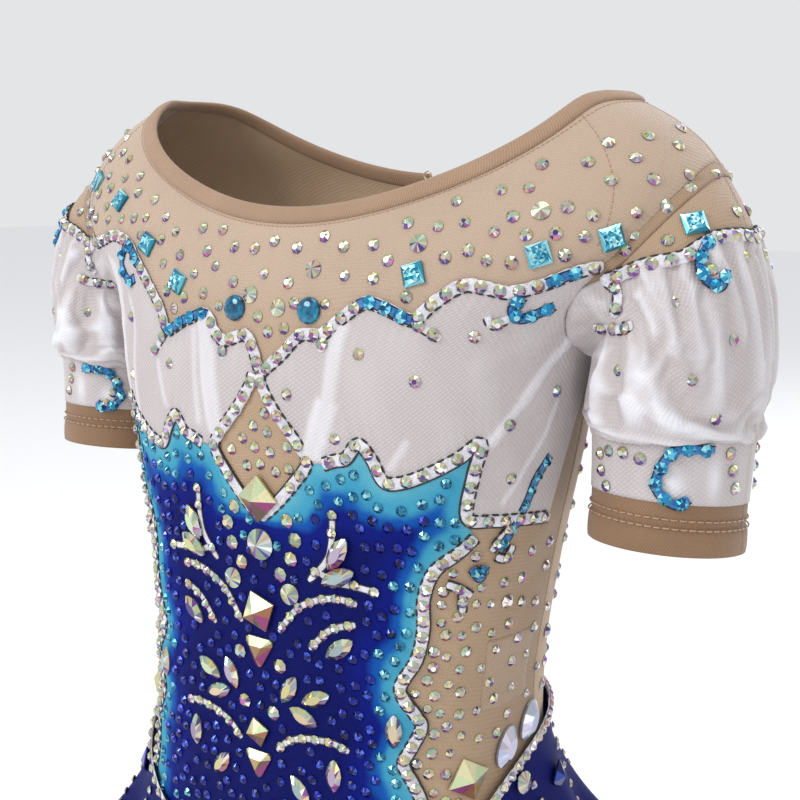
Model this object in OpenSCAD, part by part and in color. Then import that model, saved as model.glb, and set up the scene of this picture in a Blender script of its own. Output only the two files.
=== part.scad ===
// Competition leotard for rhythmic gymnastics, child's size.
// +X is the wearer's left, the front faces -Y, +Z is up, and the origin lies
// at shoulder level, midway between the shoulders. All sizes in millimetres.
// A place on the body is [degrees round from centre front, height].

/* [Body] */
// Half of the width across both shoulder points
shoulder_half = 148; // [140:1:152]
// Half of the width at the chest
chest_half = 100; // [96:1:103]
// Half of the width at the waist
waist_half = 87; // [83:1:91]
// Half of the width at the hips
hip_half = 98; // [94:1:104]

/* [Neckline] */
// How far the front neckline dips below the shoulder line
front_scoop = 43; // [35:1:50]
// How far the back neckline dips below the shoulder line
back_scoop = 31; // [26:1:34]
// Height of the neck binding
binding_h = 7.2; // [5:0.2:8]
// Thickness of the neck binding
binding_t = 2.8; // [2:0.2:3.2]

/* [Fabric] */
// Thickness of one fabric layer
fabric_t = 0.7; // [0.5:0.1:0.8]
// Gap between one fabric layer and the next
layer_gap = 0.5; // [0.4:0.1:0.7]
// Width of the white scalloped border strips
strip_w = 5; // [3:0.5:6]
// Thickness of the border strips
strip_t = 0.5; // [0.4:0.1:0.7]

/* [Skirt] */
// Length of the skirt from its top edge to its hem
skirt_len = 72; // [50:1:85]
// How far the hem stands out from the hips
skirt_flare = 22; // [12:1:30]

/* [Zipper] */
// Travel of the slider between its stops
zip_travel = 148; // [100:1:150]
// Pitch of the zipper teeth
tooth_pitch = 2; // [1.5:0.1:3]

/* [Stones] */
// Diameter of the rounds on the borders
border_round = 4.6; // [3:0.2:5]
// Diameter of the large round in the centre column
rivoli_d = 12.5; // [10:0.5:14]
// Side of the large pyramid stones
pyramid_w = 13; // [10:0.5:14]

/* [Hidden] */

// --- Form of the body -------------------------------------------------------

neck_z = -15;             // height of the neckline at the shoulder seam
zip_top = [0, 57, -50];   // centre back, where the zipper starts
zip_lean = atan(10 / 170); // the back comes forward 10 in 170
zip_end_z = -232;         // where the two back panels close up again
panel_low_z = -335;       // where the briefs take over from the panels
crotch_z = -416;
armpit_z = -108;
bulge_front = 0.20;       // how square the front half of a section is
bulge_back = 0.06;        // how square the back half is

// y of the centre back where the zipper lies, a straight line
function zip_line(z) = zip_top[1] - (zip_top[2] - z) * tan(zip_lean);

// [height, half width, front y, back y, y of the widest point]
stations = [
    [   6,  36,   6, 18, 12],
    [   2,  62,   0, 24, 12],
    [  -4,  84,  -8, 32, 12],
    [ -12, shoulder_half - 47, -18, 40, 12],
    [ -24, shoulder_half - 22, -29, 48, 13],
    [ -36, shoulder_half - 7,  -38, 53, 13],
    [ -50, shoulder_half,      -47, zip_line(-50), 12],
    [ -68, shoulder_half - 5,  -57, zip_line(-68), 9],
    [ -88, shoulder_half - 27, -64, zip_line(-88), 4],
    [-106, chest_half + 8,     -67, zip_line(-106), 1],
    [-125, chest_half + 4,     -69, zip_line(-125), -1],
    [-150, chest_half,         -68, zip_line(-150), -2],
    [-190, waist_half + 6,     -67, zip_line(-190), -3],
    [-230, waist_half + 1,     -68, zip_line(-230), -4],
    [-270, waist_half,         -69, 50, -4],
    [-310, hip_half - 5,       -68, 60, -3],
    [-350, hip_half,           -64, 68, -2],
    [-390, hip_half - 4,       -54, 62, 0],
    [-415, hip_half - 10,      -38, 44, 2],
    [-440, hip_half - 26,       -2,  6, 2]];
last = len(stations) - 1;

function slope(i, k) =
    let (lo = max(i - 1, 0), hi = min(i + 1, last))
    (stations[hi][k] - stations[lo][k]) / (stations[hi][0] - stations[lo][0]);
function span_of(z) = min(max(len([for (s = stations) if (s[0] >= z) 1]) - 1, 0), last - 1);
function blend(t, p, q, m, n) =
    (2*t^3 - 3*t^2 + 1) * p + (t^3 - 2*t^2 + t) * m + (3*t^2 - 2*t^3) * q + (t^3 - t^2) * n;
function section(z, k) =
    let (i = span_of(z), h = stations[i + 1][0] - stations[i][0], t = (z - stations[i][0]) / h)
    blend(t, stations[i][k], stations[i + 1][k], slope(i, k) * h, slope(i + 1, k) * h);

// point of the bare body form at an angle and a height
function skin(a, z) =
    let (c = cos(a), s = sin(a), mid = section(z, 4),
         depth = c > 0 ? mid - section(z, 2) : section(z, 3) - mid,
         q = c > 0 ? bulge_front : bulge_back)
    [section(z, 1) * s * (1 + q * c * c), mid - depth * c * (1 + q * s * s), z];
function unit(v) = v / norm(v);
function skin_normal(a, z) =
    unit(cross(skin(a + 1, z) - skin(a - 1, z), skin(a, z + 1) - skin(a, z - 1)));
// point at a distance off the body form
function on(a, z, off = 0) = skin(a, z) + off * skin_normal(a, z);

// --- Outlines on the body ---------------------------------------------------

function front_neck(a) = neck_z - front_scoop * abs(cos(a))^5;
function back_neck(a) = neck_z - back_scoop * abs(cos(a))^5;
// height that the binding takes up, less where the shoulder is nearly level
function below_binding(a) = (binding_h + 1) / (1.15 + 1.15 * abs(sin(a))^4);
function armhole(t) = [90 - 32 * sin(t), -74 + 34 * cos(t)];
shoulder_z = armhole(0)[1];
function front_leg(a) = max(crotch_z, -345 - 83 * cos(a)^2);
function back_leg(a) = max(crotch_z, -345 - 83 * abs(cos(a))^1.4);
function skirt_top(a) = -258 - 75 * ((1 + cos(a)) / 2)^3;

// Half of a bodice panel as places on the body: rows run down, columns run
// from the centre line to the side seam, and round the armhole above it.
// start(z) is the angle of the centre edge, measured from the centre line.
seam_gap = 0.15;
function panel_top(s, neck_end, dip, edge) =
    let (u = s / neck_end, a = edge + (90 - edge) * min(u, 1))
    s <= neck_end
        ? [a, neck_z - dip * cos(a)^5 - below_binding(a)]
        : [90, neck_z - below_binding(90)
              + (shoulder_z - neck_z + below_binding(90)) * (s - neck_end) / (1 - neck_end)];
function upper_place(s, v, dip, edge) =
    let (low = [edge + (90 - edge) * s, armpit_z],
         top = panel_top(s, 0.84, dip, edge),
         top0 = panel_top(0, 0.84, dip, edge),
         inner = [edge, armpit_z + (top0[1] - armpit_z) * v],
         outer = armhole(180 * (1 - v)),
         corners = (1 - v) * ((1 - s) * [edge, armpit_z] + s * [90, armpit_z])
             + v * ((1 - s) * top0 + s * [90, shoulder_z]))
    (1 - v) * low + v * top + (1 - s) * inner + s * outer - corners;

function zip_edge(z) =
    let (x = z > zip_end_z ? 3.2 : 0.3) asin(x / (section(z, 1) * (1 + bulge_back)));

upper_rows = 9;
lower_rows = 15;
half_cols = 14;

// angle from the centre line is kept just short of the side seam
function side_gap(place) = [min(place[0], 90 - seam_gap), place[1]];
function front_half_rows() = concat(
    [for (r = [0 : upper_rows]) [for (c = [0 : half_cols])
        side_gap(upper_place(c / half_cols, 1 - r / upper_rows, front_scoop, 0))]],
    [for (r = [1 : lower_rows]) [for (c = [0 : half_cols])
        side_gap([90 * c / half_cols, armpit_z + (panel_low_z - armpit_z) * r / lower_rows])]]);
function mirrored(row) = concat(
    [for (i = [len(row) - 1 : -1 : 1]) [-row[i][0], row[i][1]]], row);
back_cols = 12;
function back_half_rows() = concat(
    [for (r = [0 : upper_rows]) [for (c = [0 : back_cols])
        side_gap(upper_place(c / back_cols, 1 - r / upper_rows, back_scoop, zip_edge(armpit_z)))]],
    [for (r = [1 : lower_rows]) let (z = armpit_z + (panel_low_z - armpit_z) * r / lower_rows)
        [for (c = [0 : back_cols])
            side_gap([zip_edge(z) + (90 - zip_edge(z)) * c / back_cols, z])]]);

// --- Sheets, sweeps and stone seats -----------------------------------------

function join(rows) = [for (row = rows) each row];

// Closed solid between an inner and an outer grid of points, rows running
// down and columns running round to the wearer's left.
module sheet(inner, outer, wrap = false) {
    rows = len(inner);
    cols = len(inner[0]);
    total = rows * cols;
    steps = wrap ? cols : cols - 1;
    function at(r, c, layer) = layer * total + r * cols + c % cols;
    faces = concat(
        [for (r = [0 : rows - 2], c = [0 : steps - 1], k = [0, 1])
            k == 0 ? [at(r, c, 1), at(r, c + 1, 1), at(r + 1, c + 1, 1)]
                   : [at(r, c, 1), at(r + 1, c + 1, 1), at(r + 1, c, 1)]],
        [for (r = [0 : rows - 2], c = [0 : steps - 1], k = [0, 1])
            k == 0 ? [at(r, c, 0), at(r + 1, c + 1, 0), at(r, c + 1, 0)]
                   : [at(r, c, 0), at(r + 1, c, 0), at(r + 1, c + 1, 0)]],
        [for (c = [0 : steps - 1], k = [0, 1])
            k == 0 ? [at(0, c, 0), at(0, c + 1, 0), at(0, c + 1, 1)]
                   : [at(0, c, 0), at(0, c + 1, 1), at(0, c, 1)]],
        [for (c = [0 : steps - 1], k = [0, 1])
            k == 0 ? [at(rows - 1, c, 0), at(rows - 1, c + 1, 1), at(rows - 1, c + 1, 0)]
                   : [at(rows - 1, c, 0), at(rows - 1, c, 1), at(rows - 1, c + 1, 1)]],
        wrap ? [] : [for (r = [0 : rows - 2], k = [0, 1])
            k == 0 ? [at(r, 0, 0), at(r, 0, 1), at(r + 1, 0, 1)]
                   : [at(r, 0, 0), at(r + 1, 0, 1), at(r + 1, 0, 0)]],
        wrap ? [] : [for (r = [0 : rows - 2], k = [0, 1])
            k == 0 ? [at(r, cols - 1, 0), at(r + 1, cols - 1, 1), at(r, cols - 1, 1)]
                   : [at(r, cols - 1, 0), at(r + 1, cols - 1, 0), at(r + 1, cols - 1, 1)]]);
    polyhedron(points = concat(join(inner), join(outer)), faces = faces, convexity = 6);
}
// Fabric layer over places on the body, between two distances off the form
module body_sheet(places, off, thick = fabric_t, wrap = false) {
    sheet([for (row = places) [for (p = row) on(p[0], p[1], off)]],
          [for (row = places) [for (p = row) on(p[0], p[1], off + thick)]], wrap);
}

// Tube or ribbon along a path. half = [half width, half thickness].
module sweep(path, normals, half, sides, closed = false) {
    n = len(path);
    function dir(i) = unit(closed
        ? path[(i + 1) % n] - path[(i + n - 1) % n]
        : path[min(i + 1, n - 1)] - path[max(i - 1, 0)]);
    rings = [for (i = [0 : n - 1])
        let (across = unit(cross(normals[i], dir(i))))
        [for (k = [0 : sides - 1]) let (a = 360 * (k + 0.5) / sides)
            path[i] + half[0] * cos(a) * across + half[1] * sin(a) * normals[i]]];
    spans = closed ? n : n - 1;
    function at(i, k) = (i % n) * sides + k % sides;
    faces = concat(
        [for (i = [0 : spans - 1], k = [0 : sides - 1], h = [0, 1])
            h == 0 ? [at(i, k), at(i + 1, k), at(i + 1, k + 1)]
                   : [at(i, k), at(i + 1, k + 1), at(i, k + 1)]],
        closed ? [] : [[for (k = [0 : sides - 1]) at(0, k)],
                       [for (k = [sides - 1 : -1 : 0]) at(n - 1, k)]]);
    polyhedron(points = join(rings), faces = faces, convexity = 6);
}

// Smooth curve through hand-set places, `fine` steps to each span
function through(p, i, t) =
    let (n = len(p) - 1, a = p[max(i - 1, 0)], b = p[i], c = p[i + 1], d = p[min(i + 2, n)])
    blend(t, b, c, (c - a) / 2, (d - b) / 2);
function curve(p, fine) = concat(
    [for (i = [0 : len(p) - 2], k = [0 : fine - 1]) through(p, i, k / fine)], [p[len(p) - 1]]);
function flip(p) = [for (q = p) [-q[0], q[1]]];

// Border strip that follows places on the body
module strip(places, off, fine = 3) {
    line = curve(places, fine);
    sweep([for (p = line) on(p[0], p[1], off + strip_t / 2)],
          [for (p = line) skin_normal(p[0], p[1])],
          [strip_w / 2 * sqrt(2), strip_t / 2 * sqrt(2)], 4);
}

// Local frame of a stone: +Z out of the body, -X up the body
module seat(a, z, off) {
    n = skin_normal(a, z);
    translate(on(a, z, off)) rotate([0, acos(n[2]), atan2(n[1], n[0])]) children();
}
// n places at equal steps of length along a curve
function length_to(line, k) = k == 0 ? 0 :
    length_to(line, k - 1) + norm(on(line[k][0], line[k][1]) - on(line[k-1][0], line[k-1][1]));
function spaced(places, pitch) =
    let (line = curve(places, 4), n = len(line) - 1,
         reach = [for (k = [0 : n]) length_to(line, k)],
         count = floor(reach[n] / pitch), step = reach[n] / count)
    [for (j = [0 : count - 1]) let (want = (j + 0.5) * step,
         k = len([for (r = reach) if (r <= want) 1]) - 1,
         t = (want - reach[k]) / (reach[k + 1] - reach[k]))
        line[k] + t * (line[k + 1] - line[k])];

// --- Stones ------------------------------------------------------------------

module round_stone(d) {
    cylinder(d1 = d, d2 = d * 0.94, h = d * 0.12, $fn = 16);
    translate([0, 0, d * 0.12]) cylinder(d1 = d * 0.94, d2 = d * 0.45, h = d * 0.26, $fn = 16);
}
module pyramid_stone(w) {
    cylinder(r1 = w / sqrt(2), r2 = w * 0.05, h = w * 0.42, $fn = 4);
}
module navette_stone(len, wid) {
    bend = (len * len / 4 + wid * wid / 4) / wid;
    intersection() {
        translate([0, bend - wid / 2, 0]) cylinder(r = bend, h = wid * 0.35, $fn = 64);
        translate([0, wid / 2 - bend, 0]) cylinder(r = bend, h = wid * 0.35, $fn = 64);
    }
}
module triangle_stone(w) {
    linear_extrude(w * 0.3) circle(r = w / sqrt(3), $fn = 3);
}
module square_stone(w) {
    linear_extrude(w * 0.35) square(w, center = true);
}
module dome_stone(d) {
    ball = d * 0.62;
    intersection() {
        translate([0, 0, d * 0.38 - ball]) sphere(r = ball, $fn = 48);
        cylinder(d = d, h = d, $fn = 48);
    }
}
module oval_stone(len, wid) {
    navette_stone(len, wid);
}

// --- Outlines of the decoration, as on the wearer's left half -------------------

// The two halves of the bust are cut by hand, so their upper edges differ
upper_edge = [[2.2, -119], [5, -111.5], [8.4, -103.5], [12.4, -102.6], [15.2, -97],
    [18.6, -90.3], [22.6, -91.5], [28.6, -95], [30.6, -89.5], [33.6, -82.5], [38, -82.6],
    [43.5, -83.8], [48, -81], [51, -77.8], [54, -77.4], [57, -79]];
upper_tail = [[30, -99], [32, -101], [35, -101.5], [38, -100]];
upper_hook = [[47, -88], [50, -93], [54, -93], [56, -88]];
right_upper_edge = [[2.2, -118.5], [1.7, -111], [3, -105.6], [7.6, -108.6], [10, -105.6],
    [12.1, -99.5], [17.9, -102.9], [23.4, -107.6], [25, -99.4], [27.6, -91], [30, -82.4],
    [31.4, -75.5], [36, -72.6], [43, -75], [51, -77.5], [57, -79]];
right_upper_tail = [[24.5, -112.5], [26.9, -116], [29.5, -119]];
right_upper_hook = [[35, -80.5], [37.2, -86], [35.6, -91]];
diamond_edge = [[2.2, -125.5], [5, -134], [9, -144], [11, -151], [8, -160], [4, -169], [0, -176]];
lower_edge = [[14.5, -150.5], [17, -148.5], [19.5, -147], [22, -141], [25, -146], [28, -154],
    [32, -154], [38, -150], [45, -144], [51, -138], [50, -150], [50, -166], [58, -168],
    [68, -169], [81, -171]];
side_edge = [[53.5, -174], [49, -180], [43, -187], [41, -198], [42, -210], [41, -222],
    [37, -234], [42, -244], [44, -249], [41, -258], [39, -264], [42, -272], [44, -280]];
teal_edge = [[75, -146], [71, -154], [69.5, -160], [68, -166]];
// raised branches either side of the centre column
branches = [
    [[17, -171], [17, -180], [16, -188], [12, -197]],
    [[16, -191], [19, -198], [23, -196], [28, -197]],
    [[24, -203], [20, -202], [16, -203], [12, -206], [9, -210], [5, -220]],
    [[24, -211], [20, -213], [17, -216], [13, -224]],
    [[24, -262], [20, -260], [16, -260], [12, -261], [8, -264], [5, -269]]];

// --- Torso --------------------------------------------------------------------

overlay_off = fabric_t + layer_gap;
border_off = overlay_off + fabric_t + layer_gap;
stone_off = border_off + strip_t + 0.2;

module front_mesh_panel() {
    color("burlywood") body_sheet([for (row = front_half_rows()) mirrored(row)], 0);
}
module back_left_panel() {
    rows = back_half_rows();
    color("burlywood") body_sheet(
        [for (row = rows) [for (i = [len(row) - 1 : -1 : 0]) [180 - row[i][0], row[i][1]]]]
        , 0, fabric_t);
}
module back_right_panel() {
    mirror([1, 0, 0]) back_left_panel();
}
module brief(front) {
    cols = 24;
    rows = 5;
    mid = front ? 0 : 180;
    body_sheet([for (r = [0 : rows]) [for (c = [0 : cols])
        let (a = (180 - 2 * seam_gap) * (c / cols - 0.5),
             low = front ? front_leg(a) : back_leg(a), top = panel_low_z - 0.4)
        [mid + a, top + (low - top) * r / rows]]], 0);
}
module front_brief() {
    color("midnightblue") brief(true);
}
module back_brief() {
    color("midnightblue") brief(false);
}

gusset_half = 18;
function gusset_point(s, u, off) =
    let (front = skin(gusset_half * s, crotch_z), back = skin(180 - gusset_half * s, crotch_z))
    front + (back - front) * u + [0, 0, -0.4 - (20 + off) * sin(180 * u)^0.6];
module gusset() {
    cols = 8;
    rows = 10;
    function grid(off) = [for (r = [0 : rows]) [for (c = [0 : cols])
        gusset_point(2 * c / cols - 1, r / rows, off)]];
    color("midnightblue") sheet(grid(0), grid(fabric_t));
}

// Each entry is a point of the leg opening's edge and the direction out of the fabric there
leg_gap = 1.9;
function leg_loop() = concat(
    [for (a = [88 : -7 : gusset_half + 4])
        [on(a, front_leg(a) - leg_gap, 0.5), skin_normal(a, front_leg(a))]],
    [for (u = [0.05 : 0.1 : 0.96])
        [gusset_point(1, u, 1) + [leg_gap, 0, 0], [0.3, 0, -1]]],
    [for (a = [gusset_half + 4 : 7 : 88])
        [on(180 - a, back_leg(a) - leg_gap, 0.5), skin_normal(180 - a, back_leg(a))]]);
module left_leg_elastic() {
    loop = leg_loop();
    color("navy") sweep([for (p = loop) p[0]], [for (p = loop) unit(p[1])], [1.2, 1.2], 6, true);
}
module right_leg_elastic() {
    mirror([1, 0, 0]) left_leg_elastic();
}

// The binding goes from one side of the zipper round the neck to the other.
module neck_binding() {
    function mid_z(a) = (cos(a) > 0 ? front_neck(a) : back_neck(a)) - below_binding(a) * 0.44;
    gap = 1.6;
    angles = [for (k = [0 : 72]) 180 - gap - (360 - 2 * gap) * k / 72];
    color("rosybrown") sweep([for (a = angles) on(a, mid_z(a), fabric_t / 2)],
        [for (a = angles) skin_normal(a, mid_z(a))], [binding_h / 2, binding_t / 2], 8);
}

// The armhole cuts the upper corner of the overlay off beyond 56 degrees
overlay_corner = [[56, -80], [60, -92], [64, -99], [72, -105.5], [79, -109], [87, -111]];
left_overlay_top = concat([[1, -122], [5, -112.5], [8.4, -104.5], [12.4, -103.6], [15.2, -98],
    [18.6, -91.5], [28.6, -96], [33.6, -83.5], [43.5, -84.8], [51, -78.6]], overlay_corner);
right_overlay_top = concat([[1, -122], [3, -106.8], [7.6, -109.6], [12.1, -100.6], [23.4, -108.6],
    [30, -83.5], [31.4, -76.6], [36, -73.8], [51, -78.4]], overlay_corner);
module bust_overlay(top_edge) {
    cols = 24;
    rows = 6;
    first = 2.5;
    final = 84;
    inset = 2;
    function low(a) = lookup(a, [[1, -124], [11, -152], [19, -148], [22, -142], [28, -154],
        [38, -150], [50, -139.5], [50.5, -166], [79, -171], [87, -172]]);
    color("whitesmoke") body_sheet([for (r = [0 : rows]) [for (c = [0 : cols])
        let (a = first + (final - first) * c / cols, top = lookup(a, top_edge) - inset / 2,
             bottom = min(low(a) + inset, top - 0.6))
        [a, top + (bottom - top) * r / rows]]], overlay_off);
}
module left_white_overlay() {
    bust_overlay(left_overlay_top);
}
module right_white_overlay() {
    mirror([1, 0, 0]) bust_overlay(right_overlay_top);
}

module blue_front_panel() {
    rows = 16;
    cols = 24;
    low_z = -318;
    function reach(z) = lookup(-z, [[150, 48], [168, 54], [181, 47], [198, 39.5], [222, 39.5],
        [234, 35.5], [246, 42], [262, 38], [280, 42], [318, 38]]);
    function top(a) = lookup(a, [[0, -184], [10, -162], [15, -152], [22, -145], [28, -157],
        [38, -153], [47, -147], [54, -171]]);
    color("mediumblue") body_sheet([for (r = [0 : rows]) [for (c = [0 : cols])
        let (s = 2 * c / cols - 1, high = top(abs(s) * 54), z = high + (low_z - high) * r / rows,
             a = s * (r == 0 ? 50 : reach(z)))
        [a, z]]], overlay_off);
}

module upper_border_left() {
    color("white") {
        strip(upper_edge, border_off);
        strip(upper_tail, border_off);
    }
}
module upper_border_right() {
    mirror([1, 0, 0]) color("white") {
        strip(right_upper_edge, border_off);
        strip(right_upper_tail, border_off);
    }
}
module lower_border() {
    for (side = [0, 1]) mirror([side, 0, 0]) color("white") strip(lower_edge, border_off);
}
module diamond_border() {
    line = concat(diamond_edge, [for (i = [len(diamond_edge) - 2 : -1 : 0])
        [-diamond_edge[i][0], diamond_edge[i][1]]]);
    color("white") strip(line, border_off, 2);
}
module side_border_left() {
    color("white") strip(side_edge, border_off);
}
module side_border_right() {
    mirror([1, 0, 0]) side_border_left();
}

module scroll_branches() {
    color("white") for (side = [0, 1], line = branches) mirror([side, 0, 0]) {
        run = curve(line, 3);
        sweep([for (p = run) on(p[0], p[1], border_off + strip_t / 2)],
              [for (p = run) skin_normal(p[0], p[1])], [1.6, strip_t / 2 * sqrt(2)], 4);
    }
}

module skirt() {
    cols = 56;
    rows = 5;
    function flare(r) = 3.4 + skirt_flare * (r / rows)^1.9;
    function grid(extra) = [for (r = [0 : rows]) [for (c = [0 : cols - 1])
        let (a = 360 * c / cols, z = skirt_top(a) - skirt_len * r / rows)
        skin(a, z) + (flare(r) + extra) * unit([sin(a), -cos(a), 0])]];
    color("navy") sheet(grid(0), grid(fabric_t), true);
}

module care_label() {
    cols = 4;
    rows = 3;
    color("white") body_sheet([for (r = [0 : rows]) [for (c = [0 : cols])
        [64 + 21 * c / cols, -217 - 29 * r / rows]]], -1.6, 0.4);
}

// --- Sleeves, wearer's left ----------------------------------------------------

// [centre, tilt of the ring, radius across the arm, radius front to back, drop of the back]
sleeve_rings = [
    [[135.2, 2, -83], 42.6, 33.8, 34.5, 0],
    [[139.3, 1, -102.6], 58, 33.8, 36.5, 0],
    [[139, 0, -120], 75, 31.4, 35, 0.03],
    [[139, -2, -136], 86, 28.3, 29.5, 0.10],
    [[139, -3, -157], 90, 27.3, 28.3, 0.12],
    [[139, -4, -176], 90, 27.3, 28.3, 0.12]];
function ring_point(i, t) =
    i == 0 ? let (p = armhole(t)) skin(p[0], p[1])
    : let (g = sleeve_rings[i - 1], y = -g[3] * sin(t))
      g[0] + [g[2] * cos(t) * sin(g[1]), y, g[2] * cos(t) * cos(g[1]) - g[4] * y];
function sleeve_skin(t, w) =
    let (top = len(sleeve_rings), i = min(floor(w), top - 1),
         a = ring_point(max(i - 1, 0), t), b = ring_point(i, t),
         c = ring_point(i + 1, t), d = ring_point(min(i + 2, top), t))
    blend(w - i, b, c, (c - a) / 2, (d - b) / 2);
function sleeve_normal(t, w) = unit(cross(
    sleeve_skin(t + 2, w) - sleeve_skin(t - 2, w),
    sleeve_skin(t, min(w + 0.05, 6)) - sleeve_skin(t, max(w - 0.05, 0))));
function sleeve_grid(from, to, rows, off) = [for (r = [0 : rows])
    let (w = from + (to - from) * r / rows)
    [for (c = [0 : 27]) let (t = -360 * c / 28)
        sleeve_skin(t, w) + off * sleeve_normal(t, w)]];
module sleeve_piece(from, to, rows, off = 0, thick = fabric_t) {
    sheet(sleeve_grid(from, to, rows, off), sleeve_grid(from, to, rows, off + thick), true);
}

module left_armhole_band() {
    color("tan") sleeve_piece(0.14, 0.32, 1);
}
module left_shoulder_cap() {
    color("burlywood") sleeve_piece(0.35, 0.97, 2);
}
// Scalloped strip where the white sleeve starts, left out under the arm
border_reach = 96;
function scallop(t) = lookup(abs(t), [[0, 1.22], [36, 1.05], [57, 1.02], [78, 0.78], [96, 0.62]]);
function on_sleeve(t, w, off) = sleeve_skin(t, w) + off * sleeve_normal(t, w);
module left_sleeve_border() {
    path = [for (t = [border_reach : -6 : -border_reach]) t];
    color("white") sweep([for (t = path) on_sleeve(t, scallop(t), overlay_off + strip_t / 2)],
        [for (t = path) sleeve_normal(t, scallop(t))],
        [strip_w * 0.6, strip_t / 2 * sqrt(2)], 4);
}
module right_sleeve_border() {
    mirror([1, 0, 0]) left_sleeve_border();
}
module left_puff_sleeve() {
    color("whitesmoke") sleeve_piece(1, 3.97, 8);
}
module left_sleeve_band() {
    color("whitesmoke") sleeve_piece(4, 4.97, 2);
}
module left_cuff() {
    color("rosybrown") sleeve_piece(5, 6, 2, 0, 1);
}
module right_armhole_band() {
    mirror([1, 0, 0]) left_armhole_band();
}
module right_shoulder_cap() {
    mirror([1, 0, 0]) left_shoulder_cap();
}
module right_puff_sleeve() {
    mirror([1, 0, 0]) left_puff_sleeve();
}
module right_sleeve_band() {
    mirror([1, 0, 0]) left_sleeve_band();
}
module right_cuff() {
    mirror([1, 0, 0]) left_cuff();
}

// --- Centre-back zipper ----------------------------------------------------------

// Local frame: origin at the top of the opening, -Z down the zipper, +Y out of the back
module zip_frame() {
    translate(zip_top) rotate([-zip_lean, 0, 0]) children();
}
slit_half = 0.7;          // half of the slot between the two rows of teeth
row_w = 2;                // width of one row of teeth
row_top = 0.9;            // how far the teeth stand out
tape_y = -1.5;
tape_t = 0.5;
tape_w = 11;
tape_extra = 28;          // how far the tape runs on below the zipper
slider_len = 9;
slider_rest = -7;         // top of the slider when the zipper is closed
stop_h = 2.5;
chain_len = -slider_rest + slider_len + zip_travel + 2;
pivot = [0, 3.9, slider_rest - 4.5];
pin_d = 1.36;
bore_d = 1.5;

module left_zip_tape() {
    color("navajowhite") zip_frame()
        translate([slit_half + 0.1, tape_y, -chain_len - tape_extra])
            cube([tape_w, tape_t, chain_len + tape_extra - 2]);
}
module right_zip_tape() {
    mirror([1, 0, 0]) left_zip_tape();
}
module left_zip_teeth() {
    tooth_h = tooth_pitch * 0.55;
    cord = row_w * 0.45;
    base = tape_y + tape_t;
    count = floor((chain_len - 4.5 - stop_h) / tooth_pitch);
    color("wheat") zip_frame() translate([slit_half, base, -4.5 - stop_h]) rotate([90, 0, 0])
        mirror([0, 0, 1]) linear_extrude(row_top - base) union() {
            translate([row_w - cord, -count * tooth_pitch]) square([cord, count * tooth_pitch]);
            for (k = [0 : count - 1]) translate([0, -k * tooth_pitch - tooth_h])
                square([row_w, tooth_h]);
        }
}
module right_zip_teeth() {
    mirror([1, 0, 0]) left_zip_teeth();
}
module zip_top_stops() {
    color("silver") zip_frame() for (side = [0, 1]) mirror([side, 0, 0])
        translate([slit_half, tape_y + tape_t, -4.3 - stop_h / 2])
            cube([row_w, row_top - tape_y - tape_t + 0.2, stop_h * 0.8]);
}
module zip_bottom_stop() {
    color("silver") zip_frame()
        translate([-slit_half - row_w, tape_y + tape_t, -chain_len - stop_h])
            cube([2 * (slit_half + row_w), row_top - tape_y - tape_t + 0.2, stop_h]);
}
module zip_slider() {
    top_y = 1.6;
    plate_t = 1;
    low_y = -3;
    color("silver") zip_frame() difference() {
        union() {
            translate([-4.2, top_y, slider_rest - slider_len]) cube([8.4, plate_t, slider_len]);
            translate([-3.6, low_y, slider_rest - slider_len]) cube([7.2, plate_t - 0.1, slider_len]);
            translate([-0.35, low_y, slider_rest - 3]) cube([0.7, top_y - low_y + 0.1, 3]);
            translate([-1.2, top_y, pivot[2] - 2.2]) cube([2.4, pivot[1] - top_y, 4.4]);
            translate([-1.2, pivot[1], pivot[2]]) rotate([0, 90, 0]) cylinder(r = 1.6, h = 2.4, $fn = 32);
        }
        translate([-2, pivot[1], pivot[2]]) rotate([0, 90, 0]) cylinder(d = bore_d, h = 4, $fn = 32);
    }
}
module zip_pull_tab() {
    arm = 0.8;
    half = 2.5;
    thick = 1;
    color("silver") zip_frame() translate(pivot) {
        translate([-half, 0, 0]) rotate([0, 90, 0]) cylinder(d = pin_d, h = 2 * half, $fn = 32);
        for (side = [-half, half - arm]) {
            translate([side, -thick / 2, -5.5]) cube([arm, thick, 5.5]);
            translate([side, 0, 0]) rotate([0, 90, 0]) cylinder(r = 0.9, h = arm, $fn = 32);
        }
        difference() {
            union() {
                translate([-half, -thick / 2, -18]) cube([2 * half, thick, 13.5]);
                translate([0, thick / 2, -18]) rotate([90, 0, 0]) cylinder(r = half, h = thick, $fn = 48);
            }
            translate([0, thick, -17.5]) rotate([90, 0, 0]) cylinder(r = 1.1, h = 2 * thick, $fn = 32);
        }
    }
}

// Hook and eye that close the binding above the zipper
hook_z = 3.6;
wire = 0.35;
module neck_hook() {
    color("silver") zip_frame() translate([0, -3, hook_z]) {
        translate([1, 0, 0]) rotate([0, 90, 0]) cylinder(r = wire, h = 5, $fn = 24);
        translate([6, 0, -1]) rotate([90, 0, 0]) rotate_extrude(angle = 90, $fn = 32)
            translate([1, 0]) circle(r = wire, $fn = 24);
        translate([7, 0, -1]) rotate([180, 0, 0]) cylinder(r = wire, h = 1.2, $fn = 24);
    }
}
module neck_eye() {
    color("silver") zip_frame() translate([-3.5, -3, hook_z]) rotate([90, 0, 0])
        rotate_extrude($fn = 48) translate([1.9, 0]) circle(r = wire, $fn = 24);
}

// --- Stone groups ------------------------------------------------------------------

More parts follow.
